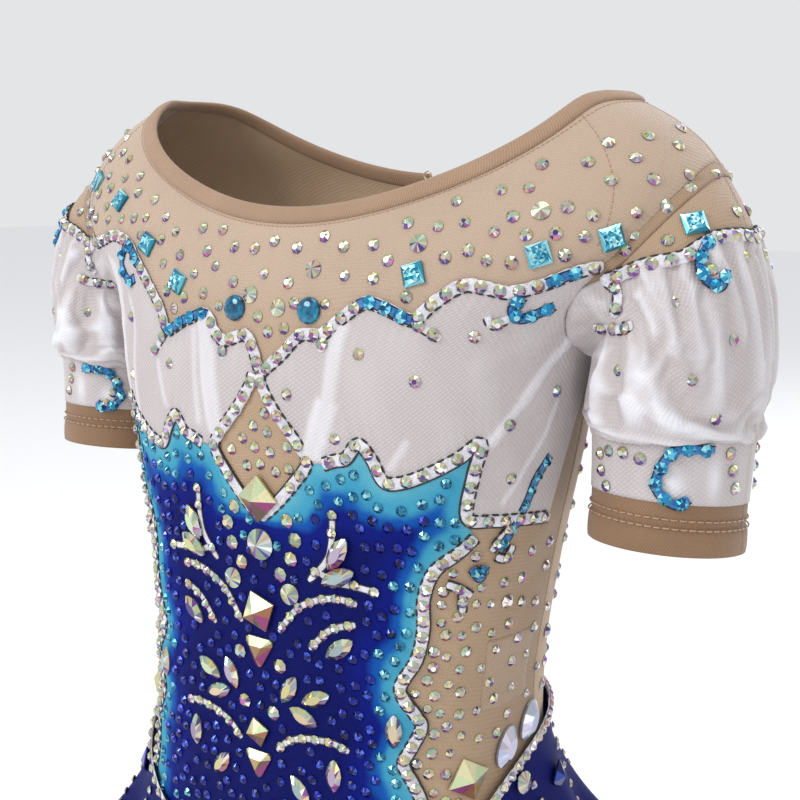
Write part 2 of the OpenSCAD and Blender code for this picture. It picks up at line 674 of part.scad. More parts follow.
module both_sides() {
    for (side = [0, 1]) mirror([side, 0, 0]) children();
}
module rounds_at(places, d, off = stone_off) {
    for (p = places) seat(p[0], p[1], off) round_stone(d);
}
module border_rounds() {
    pitch = 6.2;
    color("lemonchiffon") {
        for (line = [upper_edge, upper_tail]) rounds_at(spaced(line, pitch), border_round);
        mirror([1, 0, 0]) for (line = [right_upper_edge, right_upper_tail])
            rounds_at(spaced(line, pitch), border_round);
        both_sides() {
            for (line = [lower_edge, side_edge]) rounds_at(spaced(line, pitch), border_round);
            rounds_at(spaced([for (p = diamond_edge) if (p[1] > -163) p], pitch), border_round);
        }
    }
}
module scroll_rounds() {
    raised = border_off + strip_t + 0.3;
    color("lemonchiffon") both_sides() {
        rounds_at([[17, -170], [17, -178], [14, -192], [23, -196], [28, -197]], 3.8, raised);
        rounds_at(spaced(branches[2], 5.6), 3.8, raised);
        rounds_at(spaced(branches[3], 4.8), 3.4, raised);
        rounds_at(spaced(branches[4], 5.2), 3.8, raised);
    }
}
module sleeve_seat(t, w, off) {
    n = sleeve_normal(t, w);
    translate(on_sleeve(t, w, off)) rotate([0, acos(n[2]), atan2(n[1], n[0])]) children();
}
module sleeve_rounds() {
    raised = overlay_off + strip_t + 0.5;
    color("lemonchiffon") both_sides() {
        for (t = [5 - border_reach : 10 : border_reach - 4])
            sleeve_seat(t, scallop(t), raised) round_stone(border_round);
        for (t = [-130 : 12 : 130]) sleeve_seat(t, 4.1, fabric_t + 0.4) round_stone(border_round);
    }
}
module aqua_rounds() {
    color("deepskyblue") {
        rounds_at(spaced(upper_hook, 5.2), 4.4, border_off);
        mirror([1, 0, 0]) rounds_at(spaced(right_upper_hook, 5.2), 4.4, border_off);
        both_sides() rounds_at(spaced(teal_edge, 5), 4, border_off);
    }
}
module centre_rounds() {
    column = [[6.5, -175, 5.5], [8.5, -182, 6.2], [7.5, -190, 6.2], [5, -197, 6],
        [5.5, -234, 6], [4, -254, 6]];
    color("lemonchiffon") both_sides()
        for (p = column) seat(p[0], p[1], border_off) round_stone(p[2]);
}
module rivoli_stones() {
    color("lemonchiffon") {
        seat(0, -186.5, border_off) round_stone(rivoli_d);
        both_sides() seat(7.5, -204, border_off) round_stone(8);
    }
}
module pyramid_stones() {
    color("khaki") {
        for (p = [[0, -168, 1, 0], [0, -213.5, 0.95, 45], [0, -263.5, 0.72, 30]])
            seat(p[0], p[1], stone_off + 0.2) rotate([0, 0, p[3]]) pyramid_stone(pyramid_w * p[2]);
        both_sides() seat(60, -272, border_off) rotate([0, 0, 20]) pyramid_stone(pyramid_w);
    }
}
module triangle_stones() {
    color("khaki") {
        seat(0, -229, border_off) triangle_stone(13);
        seat(0, -276, border_off) triangle_stone(12);
    }
}
module navette_stones() {
    // angle, height, turn, length, width
    places = [[19.5, -183, -30, 13, 5.6], [21, -192.5, -80, 11, 4.4], [20.5, -221.5, -55, 14, 6.2],
        [8, -242.5, -25, 13.5, 6], [15, -243, -60, 13.5, 6], [12, -252, -110, 13.5, 6],
        [20, -273, 0, 13.5, 6], [11, -283, 35, 13.5, 6]];
    color("lightyellow") both_sides() for (p = places)
        seat(p[0], p[1], border_off) rotate([0, 0, p[2]]) navette_stone(p[3], p[4]);
}
module aqua_squares() {
    places = [[24, -79.5], [42, -71], [54, -65], [-19, -88.5], [-25.6, -75], [-34.6, -58.5], [-49, -51]];
    color("turquoise") for (p = places)
        seat(p[0], p[1], overlay_off) rotate([0, 0, sign(p[0]) * 20]) square_stone(8);
}
module teal_domes() {
    color("teal") for (p = [[9, -94.5], [-5.6, -96]]) seat(p[0], p[1], overlay_off) dome_stone(10);
}
module skirt_ovals() {
    color("lavender") both_sides() {
        seat(75, -263, border_off) rotate([0, 0, 25]) oval_stone(17, 10);
        seat(88, -257, border_off) rotate([0, 0, 25]) oval_stone(17, 10);
    }
}

// Staggered rows of small rounds between two angles and two heights
function staggered(a0, a1, z0, z1, step_a, step_z) = [
    for (r = [0 : floor((z0 - z1) / step_z)], k = [0 : floor((a1 - a0) / step_a)])
        let (a = a0 + k * step_a + (r % 2) * step_a / 2, z = z0 - r * step_z)
        if (a <= a1) [a, z]];
module panel_rounds() {
    color("royalblue") both_sides()
        rounds_at(staggered(31, 37, -162, -230, 3, 9), 3.8, border_off);
}
module mesh_rounds() {
    color("lemonchiffon") both_sides() {
        rounds_at(staggered(47, 84, -190, -251, 7.4, 12), 3.8, overlay_off);
        rounds_at(staggered(4, 16, -72, -80, 9, 8), 3.8, overlay_off);
    }
}

front_mesh_panel();
back_left_panel();
back_right_panel();
front_brief();
back_brief();
gusset();
left_leg_elastic();
right_leg_elastic();
neck_binding();
left_white_overlay();
right_white_overlay();
blue_front_panel();
upper_border_left();
upper_border_right();
lower_border();
diamond_border();
side_border_left();
side_border_right();
left_armhole_band();
right_armhole_band();
left_shoulder_cap();
right_shoulder_cap();
left_puff_sleeve();
right_puff_sleeve();
left_sleeve_border();
right_sleeve_border();
left_sleeve_band();
right_sleeve_band();
left_cuff();
right_cuff();
scroll_branches();
skirt();
care_label();
left_zip_tape();
right_zip_tape();
left_zip_teeth();
right_zip_teeth();
zip_top_stops();
zip_bottom_stop();
zip_slider();
zip_pull_tab();
neck_hook();
neck_eye();
border_rounds();
scroll_rounds();
sleeve_rounds();
aqua_rounds();
centre_rounds();
rivoli_stones();
pyramid_stones();
triangle_stones();
navette_stones();
aqua_squares();
teal_domes();
skirt_ovals();
panel_rounds();
mesh_rounds();
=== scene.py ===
"""Looks of a child's rhythmic gymnastics leotard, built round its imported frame.

Places on the body are [degrees round from centre front towards the wearer's left,
height in millimetres], as in the frame's own design. Lengths are in millimetres
until a mesh is made, and in metres from then on.
"""

import math

import bpy
import numpy as np
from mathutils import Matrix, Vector
from mathutils.geometry import delaunay_2d_cdt


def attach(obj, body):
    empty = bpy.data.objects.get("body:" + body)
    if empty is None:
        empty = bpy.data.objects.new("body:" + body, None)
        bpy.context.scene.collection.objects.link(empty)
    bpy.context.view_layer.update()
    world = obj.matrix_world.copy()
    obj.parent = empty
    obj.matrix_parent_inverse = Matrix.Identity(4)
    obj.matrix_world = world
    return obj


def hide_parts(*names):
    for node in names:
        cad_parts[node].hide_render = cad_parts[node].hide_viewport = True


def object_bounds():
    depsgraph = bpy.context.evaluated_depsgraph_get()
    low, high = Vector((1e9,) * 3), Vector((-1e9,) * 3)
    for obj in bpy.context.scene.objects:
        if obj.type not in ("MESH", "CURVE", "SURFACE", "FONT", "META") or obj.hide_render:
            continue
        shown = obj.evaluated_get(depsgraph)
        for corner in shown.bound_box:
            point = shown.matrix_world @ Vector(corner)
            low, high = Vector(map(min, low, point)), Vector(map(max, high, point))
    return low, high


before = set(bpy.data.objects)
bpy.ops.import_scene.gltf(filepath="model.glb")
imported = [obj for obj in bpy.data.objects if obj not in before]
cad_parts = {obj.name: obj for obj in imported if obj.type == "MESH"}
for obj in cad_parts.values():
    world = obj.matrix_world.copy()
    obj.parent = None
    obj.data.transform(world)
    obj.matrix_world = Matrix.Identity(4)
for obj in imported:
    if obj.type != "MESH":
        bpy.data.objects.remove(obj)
cad_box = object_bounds()
MM = 0.001
rng = np.random.default_rng(11)


# --- Form of the body ----------------------------------------------------------

ZIP_TOP = (57.0, -50.0)   # y and height where the zipper starts
ZIP_SLOPE = 10 / 170
NECK_Z = -15
FRONT_SCOOP, BACK_SCOOP = 43, 31
BINDING_H, BINDING_T = 7.2, 2.8
BULGE_FRONT, BULGE_BACK = 0.20, 0.06
LOW_Z = -335              # where the briefs take over
CROTCH_Z = -416
ARMPIT_Z = -108
DEG_MM = 1.85             # length of one degree round the chest


def zip_line(z):
    """y of the centre back, a straight line along the zipper."""
    return ZIP_TOP[0] - (ZIP_TOP[1] - z) * ZIP_SLOPE


# height, half width, front y, back y (None on the zipper line), y of the widest point
STATIONS = [
    (6, 36, 6, 18, 12), (2, 62, 0, 24, 12), (-4, 84, -8, 32, 12),
    (-12, 101, -18, 40, 12), (-24, 126, -29, 48, 13), (-36, 141, -38, 53, 13),
    (-50, 148, -47, None, 12), (-68, 143, -57, None, 9), (-88, 121, -64, None, 4),
    (-106, 108, -67, None, 1), (-125, 104, -69, None, -1), (-150, 100, -68, None, -2),
    (-190, 93, -67, None, -3), (-230, 88, -68, None, -4), (-270, 87, -69, 50, -4),
    (-310, 93, -68, 60, -3), (-350, 98, -64, 68, -2), (-390, 94, -54, 62, 0),
    (-415, 88, -38, 44, 2), (-440, 72, -2, 6, 2)]
TABLE = np.array([[zip_line(s[0]) if v is None else v for v in s] for s in STATIONS], float)
HEIGHTS = TABLE[:, 0]
_low = np.maximum(np.arange(len(TABLE)) - 1, 0)
_high = np.minimum(np.arange(len(TABLE)) + 1, len(TABLE) - 1)
SLOPES = (TABLE[_high] - TABLE[_low]) / (HEIGHTS[_high] - HEIGHTS[_low])[:, None]


def hermite(t, p, q, m, n):
    return ((2 * t**3 - 3 * t**2 + 1) * p + (t**3 - 2 * t**2 + t) * m
            + (3 * t**2 - 2 * t**3) * q + (t**3 - t**2) * n)


def section(z):
    """Half width, front y, back y and middle y of the body at heights z."""
    z = np.asarray(z, float)
    i = np.clip(np.searchsorted(-HEIGHTS, -z, side="right") - 1, 0, len(TABLE) - 2)
    h = HEIGHTS[i + 1] - HEIGHTS[i]
    t = (z - HEIGHTS[i]) / h
    return [hermite(t, TABLE[i, k], TABLE[i + 1, k], SLOPES[i, k] * h, SLOPES[i + 1, k] * h)
            for k in (1, 2, 3, 4)]


def skin(a, z):
    a, z = np.broadcast_arrays(np.asarray(a, float), np.asarray(z, float))
    half, front, back, mid = section(z)
    c, s = np.cos(np.radians(a)), np.sin(np.radians(a))
    depth = np.where(c > 0, mid - front, back - mid)
    q = np.where(c > 0, BULGE_FRONT, BULGE_BACK)
    return np.stack([half * s * (1 + q * c * c), mid - depth * c * (1 + q * s * s), z], -1)


def unit(v):
    return v / np.maximum(np.linalg.norm(v, axis=-1, keepdims=True), 1e-9)


def skin_normal(a, z):
    a, z = np.asarray(a, float), np.asarray(z, float)
    return unit(np.cross(skin(a + 1, z) - skin(a - 1, z), skin(a, z + 1) - skin(a, z - 1)))


def ridges(a, z, lines):
    """Height of soft folds at places, from lines (a0, z0, a1, z1, width, height)."""
    total = np.zeros(np.broadcast(a, z).shape)
    for a0, z0, a1, z1, width, height in lines:
        d = np.array([(a1 - a0) * DEG_MM, z1 - z0])
        x, y = (a - a0) * DEG_MM, z - z0
        t = (x * d[0] + y * d[1]) / (d @ d)
        off = np.hypot(x - t * d[0], y - t * d[1])
        ends = np.clip(np.minimum(t, 1 - t) * 4 + 0.5, 0, 1)
        total = total + height * np.exp(-(off / width) ** 2) * ends ** 2 * (3 - 2 * ends)
    return total


# Drag lines that every layer of the torso shares
DRAGS = [(s * a0, z0, s * a1, z1, w, h) for s in (1, -1) for a0, z0, a1, z1, w, h in [
    (62, -86, 44, -74, 4, 0.7), (60, -94, 40, -92, 4.5, -0.6), (64, -100, 46, -112, 5, 0.6),
    (72, -118, 52, -140, 5, 0.5), (84, -176, 62, -188, 5, 0.6), (88, -190, 64, -206, 5, -0.5),
    (90, -214, 66, -222, 6, 0.6), (92, -236, 64, -240, 6, -0.5), (88, -252, 60, -262, 5, 0.5),
    (118, -120, 142, -138, 6, 0.7), (112, -180, 140, -192, 7, 0.6),
    (108, -222, 142, -236, 7, -0.6), (120, -84, 146, -92, 6, 0.6)]]


def on(a, z, off=0.0):
    """Points of the dressed body form at places, a distance off it."""
    lift = ridges(np.asarray(a, float), np.asarray(z, float), DRAGS)
    return skin(a, z) + (lift + off)[..., None] * skin_normal(a, z)


# --- Outlines ---------------------------------------------------------------------

UPPER_EDGE = [(1, -119), (5, -111.5), (8.4, -103.5), (12.4, -102.6), (15.2, -97), (18.6, -90.3), (22.6, -91.5),
              (28.6, -95), (30.6, -89.5), (33.6, -82.5), (38, -82.6), (43.5, -83.8), (48, -81),
              (51, -77.4), (54, -75.2), (57.4, -74)]
RIGHT_EDGE = [(0.6, -118), (-1, -110.5), (-3, -105.6), (-7.6, -108.6), (-10, -105.6), (-12.1, -99.5),
              (-17.9, -102.9), (-23.4, -107.6), (-25, -99.4), (-27.6, -91), (-30, -82.4), (-31.4, -75.5),
              (-36, -72.6), (-43, -75), (-51, -76.5), (-57.4, -74.5)]
UPPER_TAIL = [(28.6, -95.5), (31.9, -98.1), (35.9, -101)]
UPPER_SPUR = [(13, -103), (13, -109)]
UPPER_HOOK = [(47, -85), (47.5, -90), (51, -93), (54, -91), (56.5, -88)]
HOOK_TAIL = [(43, -92.5), (45.5, -95.5), (48.5, -92.5)]
RIGHT_TAIL = [(-23.8, -108), (-26.9, -114.4), (-29.5, -119)]
RIGHT_SPUR = [(-8, -109.4), (-7.8, -116)]
RIGHT_HOOK = [(-32.6, -77), (-35, -80.5), (-37.2, -86), (-35.6, -90.5), (-32.6, -89)]
DIAMOND = [(0.7, -119.5), (1.5, -124.5), (4.6, -134), (9, -144), (11, -151), (8, -160), (4, -169), (0, -176)]
LOWER_EDGE = [(14.5, -150.5), (17, -148.5), (19.5, -147), (22, -141), (25, -146), (28, -154),
              (32, -154), (38, -150), (45, -144), (51, -138), (50, -150), (50, -166),
              (58, -168), (68, -169), (81, -171)]
SIDE_EDGE = [(53.5, -174), (49, -180), (43, -187), (41, -198), (42, -210), (41, -222),
             (37, -234), (42, -244), (44, -249), (41, -258), (39, -264), (42, -272), (44, -280),
             (43, -292), (45, -306)]
TEAL_EDGE = [(75, -145.5), (71, -153.5), (69.5, -160), (68, -166)]
TEAL_TAIL = [(66.6, -170), (64.5, -174.5), (62, -180)]
TEAL_HEART = [(58, -185.5), (57, -190), (54, -186)]
SIDE_FORK = [(66, -170), (62.5, -174.5), (59.5, -180)]
SIDE_TWIG = [(67, -179), (65, -183.5), (61.5, -182.5)]
SIDE_STAR = [(47, -192), (51, -194), (55, -197)]
STAR_SPUR = [(52, -195), (53, -203.5)]
SIDE_TRIM = [SIDE_FORK, SIDE_TWIG, SIDE_STAR, STAR_SPUR]
BRANCHES = [
    [(17, -171), (17, -180), (16, -188), (12, -197)],
    [(14, -192.5), (18, -195.5), (23, -196), (28, -197)],
    [(24, -203), (20, -202), (16, -203), (12, -206), (9, -210), (5, -220)],
    [(24, -211), (20, -213), (17, -216), (13, -224)],
    [(24, -262), (20, -260), (16, -260), (12, -261), (8, -264), (5, -269)]]
SHOULDER_BORDER = 97      # degrees either side of the top that the sleeve border covers
SLEEVE_HOOK = [(96, 0.4), (97, 0.65), (102, 0.82), (111, 0.95)]
SLEEVE_FOOT = [(126, 0.65), (122, 0.98), (109, 1.32), (96, 1.45)]


def armhole(t):
    t = np.radians(t)
    return 90 - 32 * np.sin(t), -74 + 34 * np.cos(t)


def front_neck(a):
    return NECK_Z - FRONT_SCOOP * np.abs(np.cos(np.radians(a))) ** 5


def back_neck(a):
    return NECK_Z - BACK_SCOOP * np.abs(np.cos(np.radians(a))) ** 5


def below_binding(a):
    return (BINDING_H + 1) / (1.15 + 1.15 * np.abs(np.sin(np.radians(a))) ** 4)


def front_leg(a):
    return np.maximum(CROTCH_Z, -345 - 83 * np.cos(np.radians(a)) ** 2)


def back_leg(a):
    return np.maximum(CROTCH_Z, -345 - 83 * np.abs(np.cos(np.radians(a))) ** 1.4)


def skirt_top(a):
    return -258 - 75 * ((1 + np.cos(np.radians(a))) / 2) ** 3


def curve(points, fine=8):
    """Smooth curve through points, fine steps to each span."""
    p = np.array(points, float)
    out = []
    for i in range(len(p) - 1):
        before, after = p[max(i - 1, 0)], p[min(i + 2, len(p) - 1)]
        for t in np.arange(fine) / fine:
            out.append(hermite(t, p[i], p[i + 1], (p[i + 1] - before) / 2, (after - p[i]) / 2))
    return np.array(out + [p[-1]])


def flip(points):
    return [(-p[0], p[1]) for p in points]


def both(points):
    return [points, flip(points)]


def spaced(places, pitch, at=on, first=0.5):
    """Places at equal steps of real length along a line of places."""
    p = at(places[:, 0], places[:, 1])
    reach = np.concatenate([[0], np.cumsum(np.linalg.norm(np.diff(p, axis=0), axis=1))])
    count = max(int(reach[-1] / pitch), 1)
    want = (np.arange(count) + first) * reach[-1] / count
    return np.stack([np.interp(want, reach, places[:, k]) for k in (0, 1)], -1)


def inside(points, outline):
    """Which points of an array lie inside a closed outline."""
    x, y = points[:, 0], points[:, 1]
    hit = np.zeros(len(points), bool)
    ring = np.asarray(outline, float)
    for (x0, y0), (x1, y1) in zip(ring, np.roll(ring, -1, 0)):
        cross = (y0 > y) != (y1 > y)
        with np.errstate(divide="ignore", invalid="ignore"):
            hit ^= cross & (x < (x1 - x0) * (y - y0) / (y1 - y0) + x0)
    return hit


def to_outline(points, outline):
    """Distance in millimetres from flat points to the nearest side of an outline."""
    best = np.full(len(points), 1e9)
    ring = np.asarray(outline, float)
    for p, q in zip(ring[:-1], ring[1:]):
        d = q - p
        t = np.clip(((points - p) @ d) / max(d @ d, 1e-9), 0, 1)
        best = np.minimum(best, np.linalg.norm(points - p - t[:, None] * d, axis=1))
    return best


def flat(places):
    return np.asarray(places, float) * (DEG_MM, 1)


# --- Sleeve, wearer's left ---------------------------------------------------------

# centre, tilt, radius across, radius front to back, drop of the back
SLEEVE_RINGS = [
    ((135.2, 2, -83), 42.6, 33.8, 34.5, 0), ((139.3, 1, -102.6), 58, 33.8, 36.5, 0),
    ((139, 0, -120), 75, 31.4, 35, 0.03), ((139, -2, -136), 86, 28.3, 29.5, 0.10),
    ((139, -3, -157), 90, 27.3, 28.3, 0.12), ((139, -4, -176), 90, 27.3, 28.3, 0.12)]


def ring_point(i, t):
    if i == 0:
        return skin(*armhole(t))
    centre, tilt, across, deep, drop = SLEEVE_RINGS[i - 1]
    r, tilt = np.radians(t), math.radians(tilt)
    y = -deep * np.sin(r)
    return np.stack([centre[0] + across * np.cos(r) * math.sin(tilt), centre[1] + y,
                     centre[2] + across * np.cos(r) * math.cos(tilt) - drop * y], -1)


def sleeve_skin(t, w):
    """Points of the sleeve's form: t degrees round from the top, w from seam 0 to hem 6."""
    t, w = np.broadcast_arrays(np.asarray(t, float), np.asarray(w, float))
    rings = np.stack([ring_point(i, t) for i in range(7)])
    i = np.clip(w.astype(int), 0, 5)
    take = lambda k: np.take_along_axis(rings, np.clip(k, 0, 6)[None, ..., None], 0)[0]
    a, b, c, d = take(i - 1), take(i), take(i + 1), take(i + 2)
    return hermite((w - i)[..., None], b, c, (c - a) / 2, (d - b) / 2)


def sleeve_normal(t, w):
    t, w = np.asarray(t, float), np.asarray(w, float)
    return unit(np.cross(sleeve_skin(t + 2, w) - sleeve_skin(t - 2, w),
                         sleeve_skin(t, np.minimum(w + 0.05, 6)) - sleeve_skin(t, np.maximum(w - 0.05, 0))))


def on_sleeve(t, w, off=0.0):
    return sleeve_skin(t, w) + np.asarray(off)[..., None] * sleeve_normal(t, w)


def scallop(t):
    """How far down the sleeve the white cloth starts, by degrees from the top."""
    return np.interp(np.abs(t), (0, 20, 36, 57, 66, 78, 87, 93, 98, 104, 180),
                     (1.22, 1.13, 1.03, 1.02, 0.9, 0.66, 0.5, 0.38, 0.22, 0.06, 0.06))


# --- Mesh helpers ---------------------------------------------------------------------


def make(name, verts, faces, smooth=True, uv=None, attrs=()):
    """An object in metres from points in millimetres."""
    mesh = bpy.data.meshes.new(name)
    mesh.from_pydata((np.asarray(verts) * MM).tolist(), [], [list(map(int, f)) for f in faces])
    mesh.validate()
    if uv is not None:
        layer = mesh.uv_layers.new(name="cloth")
        loops = np.zeros(len(mesh.loops), np.int32)
        mesh.loops.foreach_get("vertex_index", loops)
        layer.data.foreach_set("uv", np.asarray(uv, np.float32)[loops].ravel())
    for key, values in attrs:
        mesh.attributes.new(key, "FLOAT", "POINT").data.foreach_set("value", np.asarray(values, np.float32))
    mesh.polygons.foreach_set("use_smooth", [smooth] * len(mesh.polygons))
    obj = bpy.data.objects.new(name, mesh)
    bpy.context.scene.collection.objects.link(obj)
    return obj


def thicken(obj, mm, offset=1.0):
    solid = obj.modifiers.new("thickness", "SOLIDIFY")
    solid.thickness = mm * MM
    solid.offset = offset
    return obj


def place(obj, material, slot, *nodes, body="root"):
    """Gives a piece its material and body, and hides the CAD nodes that it stands for; slot is not used."""
    obj.data.materials.append(material)
    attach(obj, body)
    if nodes:
        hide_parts(*nodes)
    return obj


def grid_faces(rows, cols, wrap=False):
    """Faces of a grid whose rows run down and whose columns run to the wearer's left."""
    r, c = np.mgrid[0:rows - 1, 0:cols if wrap else cols - 1]
    a, b = r * cols + c, r * cols + (c + 1) % cols
    return np.stack([a, a + cols, b + cols, b], -1).reshape(-1, 4)


def grid_uv(points):
    """Real-size cloth coordinates of a grid, in millimetres."""
    u = np.cumsum(np.linalg.norm(np.diff(points, axis=1, prepend=points[:, :1]), axis=2), 1)
    v = np.cumsum(np.linalg.norm(np.diff(points, axis=0, prepend=points[:1]), axis=2), 0)
    u = u - u.mean(1, keepdims=True)
    return np.stack([u, -v], -1).reshape(-1, 2)


def grid_piece(name, points, wrap=False, attrs=()):
    rows, cols = points.shape[:2]
    return make(name, points.reshape(-1, 3), grid_faces(rows, cols, wrap), uv=grid_uv(points),
                attrs=[(k, v.ravel()) for k, v in attrs])


def fill(outline, step):
    """Even triangles over a closed outline of places: their places and faces."""
    ring = flat(outline)
    low, high = ring.min(0), ring.max(0)
    xs = np.arange(low[0], high[0], step)
    ys = np.arange(low[1], high[1], step * 0.866)
    gx, gy = np.meshgrid(xs, ys)
    gx = gx + (np.arange(len(ys)) % 2)[:, None] * step / 2
    mesh = np.stack([gx.ravel(), gy.ravel()], -1)
    mesh = mesh[inside(mesh, ring)]
    mesh = mesh[to_outline(mesh, np.vstack([ring, ring[:1]])) > step * 0.5]
    points = np.vstack([ring, mesh])
    area = ((ring[:, 0] * np.roll(ring[:, 1], -1)) - (np.roll(ring[:, 0], -1) * ring[:, 1])).sum()
    loop = list(range(len(ring)))
    verts, _, faces, *_ = delaunay_2d_cdt(
        [Vector(p) for p in points], [], [loop if area > 0 else loop[::-1]], 1, 1e-5)
    verts = np.array([tuple(v) for v in verts])
    return verts / (DEG_MM, 1), [f for f in faces if len(f) == 3]


def tube(path, normals, across, along, sides=6):
    """Closed tube of half sizes across and along the normals: points and faces."""
    n = len(path)
    heading = unit(np.gradient(path, axis=0))
    side = unit(np.cross(heading, normals))
    up = unit(np.cross(side, heading))
    ang = 2 * np.pi * (np.arange(sides) + 0.5) / sides
    half_w = np.broadcast_to(across, n)[:, None, None]
    half_h = np.broadcast_to(along, n)[:, None, None]
    ring = (path[:, None] + half_w * np.cos(ang)[None, :, None] * side[:, None]
            + half_h * np.sin(ang)[None, :, None] * up[:, None])
    faces = []
    for i in range(n - 1):
        for k in range(sides):
            j = (k + 1) % sides
            faces.append((i * sides + k, i * sides + j, (i + 1) * sides + j, (i + 1) * sides + k))
    faces.append(tuple(range(sides - 1, -1, -1)))
    faces.append(tuple((n - 1) * sides + k for k in range(sides)))
    return ring.reshape(-1, 3), faces


class Bundle:
    """Several small solids gathered into one piece."""

    def __init__(self):
        self.verts, self.faces, self.tints, self.count = [], [], [], 0

    def add(self, verts, faces, tint=None):
        self.verts.append(np.asarray(verts))
        self.faces.extend(tuple(i + self.count for i in f) for f in faces)
        if tint is not None:
            self.tints.extend(tint)
        self.count += len(verts)

    def piece(self, name, smooth=True):
        obj = make(name, np.vstack(self.verts), self.faces, smooth)
        if self.tints:
            sizes = [len(p.vertices) for p in obj.data.polygons]
            colours = np.repeat(np.array(self.tints, np.float32), sizes, axis=0)
            layer = obj.data.color_attributes.new("tint", "FLOAT_COLOR", "CORNER")
            layer.data.foreach_set("color", np.hstack([colours, np.ones((len(colours), 1), np.float32)]).ravel())
        return obj


# --- Materials --------------------------------------------------------------------------


class Shader:
    """Short way to write a node material."""

    def __init__(self, name, **inputs):
        self.material = bpy.data.materials.new(name)
        self.material.use_nodes = True
        self.tree = self.material.node_tree
        self.bsdf = self.tree.nodes["Principled BSDF"]
        for key, value in inputs.items():
            self.bsdf.inputs[key.replace("_", " ")].default_value = value

    def node(self, kind, props=(), **inputs):
        n = self.tree.nodes.new(kind)
        for key, value in dict(props).items():
            setattr(n, key, value)
        for key, value in inputs.items():
            self.put(n.inputs[key.replace("_", " ")], value)
        return n

    def put(self, socket, value):
        if isinstance(value, bpy.types.NodeSocket):
            self.tree.links.new(value, socket)
        else:
            socket.default_value = value

    def math(self, op, a, b=0.0, clamp=False):
        n = self.tree.nodes.new("ShaderNodeMath")
        n.operation = op
        n.use_clamp = clamp
        self.put(n.inputs[0], a)
        self.put(n.inputs[1], b)
        return n.outputs[0]

    def mix(self, factor, a, b, kind="MIX"):
        n = self.tree.nodes.new("ShaderNodeMix")
        n.data_type = "RGBA"
        n.blend_type = kind
        self.put(n.inputs[0], factor)
        self.put(n.inputs[6], a)
        self.put(n.inputs[7], b)
        return n.outputs[2]

    def ramp(self, value, stops, smooth=True):
        n = self.tree.nodes.new("ShaderNodeValToRGB")
        n.color_ramp.interpolation = "EASE" if smooth else "LINEAR"
        while len(n.color_ramp.elements) < len(stops):
            n.color_ramp.elements.new(0.5)
        for e, (at, colour) in zip(n.color_ramp.elements, stops):
            e.position = at
            e.color = (*colour, 1) if len(colour) == 3 else colour
        self.put(n.inputs[0], value)
        return n.outputs[0]

    def attribute(self, name):
        return self.node("ShaderNodeAttribute", {"attribute_name": name}).outputs["Fac"]

    def cloth(self, turn=0.0, stretch=(1, 1, 1)):
        """Cloth coordinates in millimetres, turned by an angle."""
        uv = self.node("ShaderNodeUVMap", {"uv_map": "cloth"})
        mapping = self.node("ShaderNodeMapping", Vector=uv.outputs[0], Scale=stretch,
                            Rotation=(0, 0, math.radians(turn)))
        return mapping.outputs[0]

    def lines(self, coords, pitch, warp=0.3):
        """Fine threads at a pitch in millimetres, 0 to 1 across each."""
        return self.node("ShaderNodeTexWave", {"wave_type": "BANDS", "bands_direction": "X"},
                         Vector=coords, Scale=0.314 / pitch, Distortion=warp,
                         Detail=1.0).outputs["Fac"]

    def noise(self, scale, detail=2.0, coords=None):
        if coords is None:
            coords = self.node("ShaderNodeTexCoord").outputs["Object"]
        return self.node("ShaderNodeTexNoise", Vector=coords, Scale=scale, Detail=detail).outputs["Fac"]

    def bump(self, height, distance, strength=1.0):
        n = self.node("ShaderNodeBump", Height=height, Distance=distance, Strength=strength)
        self.put(self.bsdf.inputs["Normal"], n.outputs[0])

    def colour(self, value):
        self.put(self.bsdf.inputs["Base Color"], value)

    def roughness(self, low, high, by):
        n = self.node("ShaderNodeMapRange", Value=by)
        n.inputs["To Min"].default_value = low
        n.inputs["To Max"].default_value = high
        self.put(self.bsdf.inputs["Roughness"], n.outputs[0])


def rgb(r, g, b):
    """Linear colour from screen values 0 to 255."""
    f = lambda v: v / 12.92 if v <= 0.04045 else ((v + 0.055) / 1.055) ** 2.4
    return tuple(f(c / 255) for c in (r, g, b))


def rgba(r, g, b):
    return (*rgb(r, g, b), 1.0)


def mesh_material(name, light, dark, pitch, turn=58, sheen=0.3, net=0.55, fold=None):
    """Fine power mesh: two crossing sets of threads, with darker holes between them."""
    s = Shader(name, Roughness=0.75, Sheen_Weight=sheen, Sheen_Roughness=0.5)
    warp = s.lines(s.cloth(turn), pitch)
    weft = s.lines(s.cloth(turn + 72), pitch * 1.3)
    threads = s.math("MULTIPLY", s.math("POWER", warp, 1.4), s.math("POWER", weft, 0.5), True)
    cloud = s.noise(28, 3)
    tone = s.mix(s.math("MULTIPLY", cloud, 0.55), (*dark, 1), (*light, 1))
    tone = s.mix(s.math("ADD", s.math("MULTIPLY", threads, net), 0.25, True), tone, (*light, 1))
    if fold is not None:
        tone = s.mix(s.attribute("fold"), tone, (*fold, 1))
    # painted shade: where a piece carries the deep attribute, its colour is mixed towards a darker, warmer shade tone
    tone = s.mix(s.attribute("deep"), tone, (dark[0] * 0.62, dark[1] * 0.55, dark[2] * 0.40, 1))
    s.colour(tone)
    s.roughness(0.6, 0.85, threads)
    s.bump(threads, 0.00035, 0.5)
    return s.material


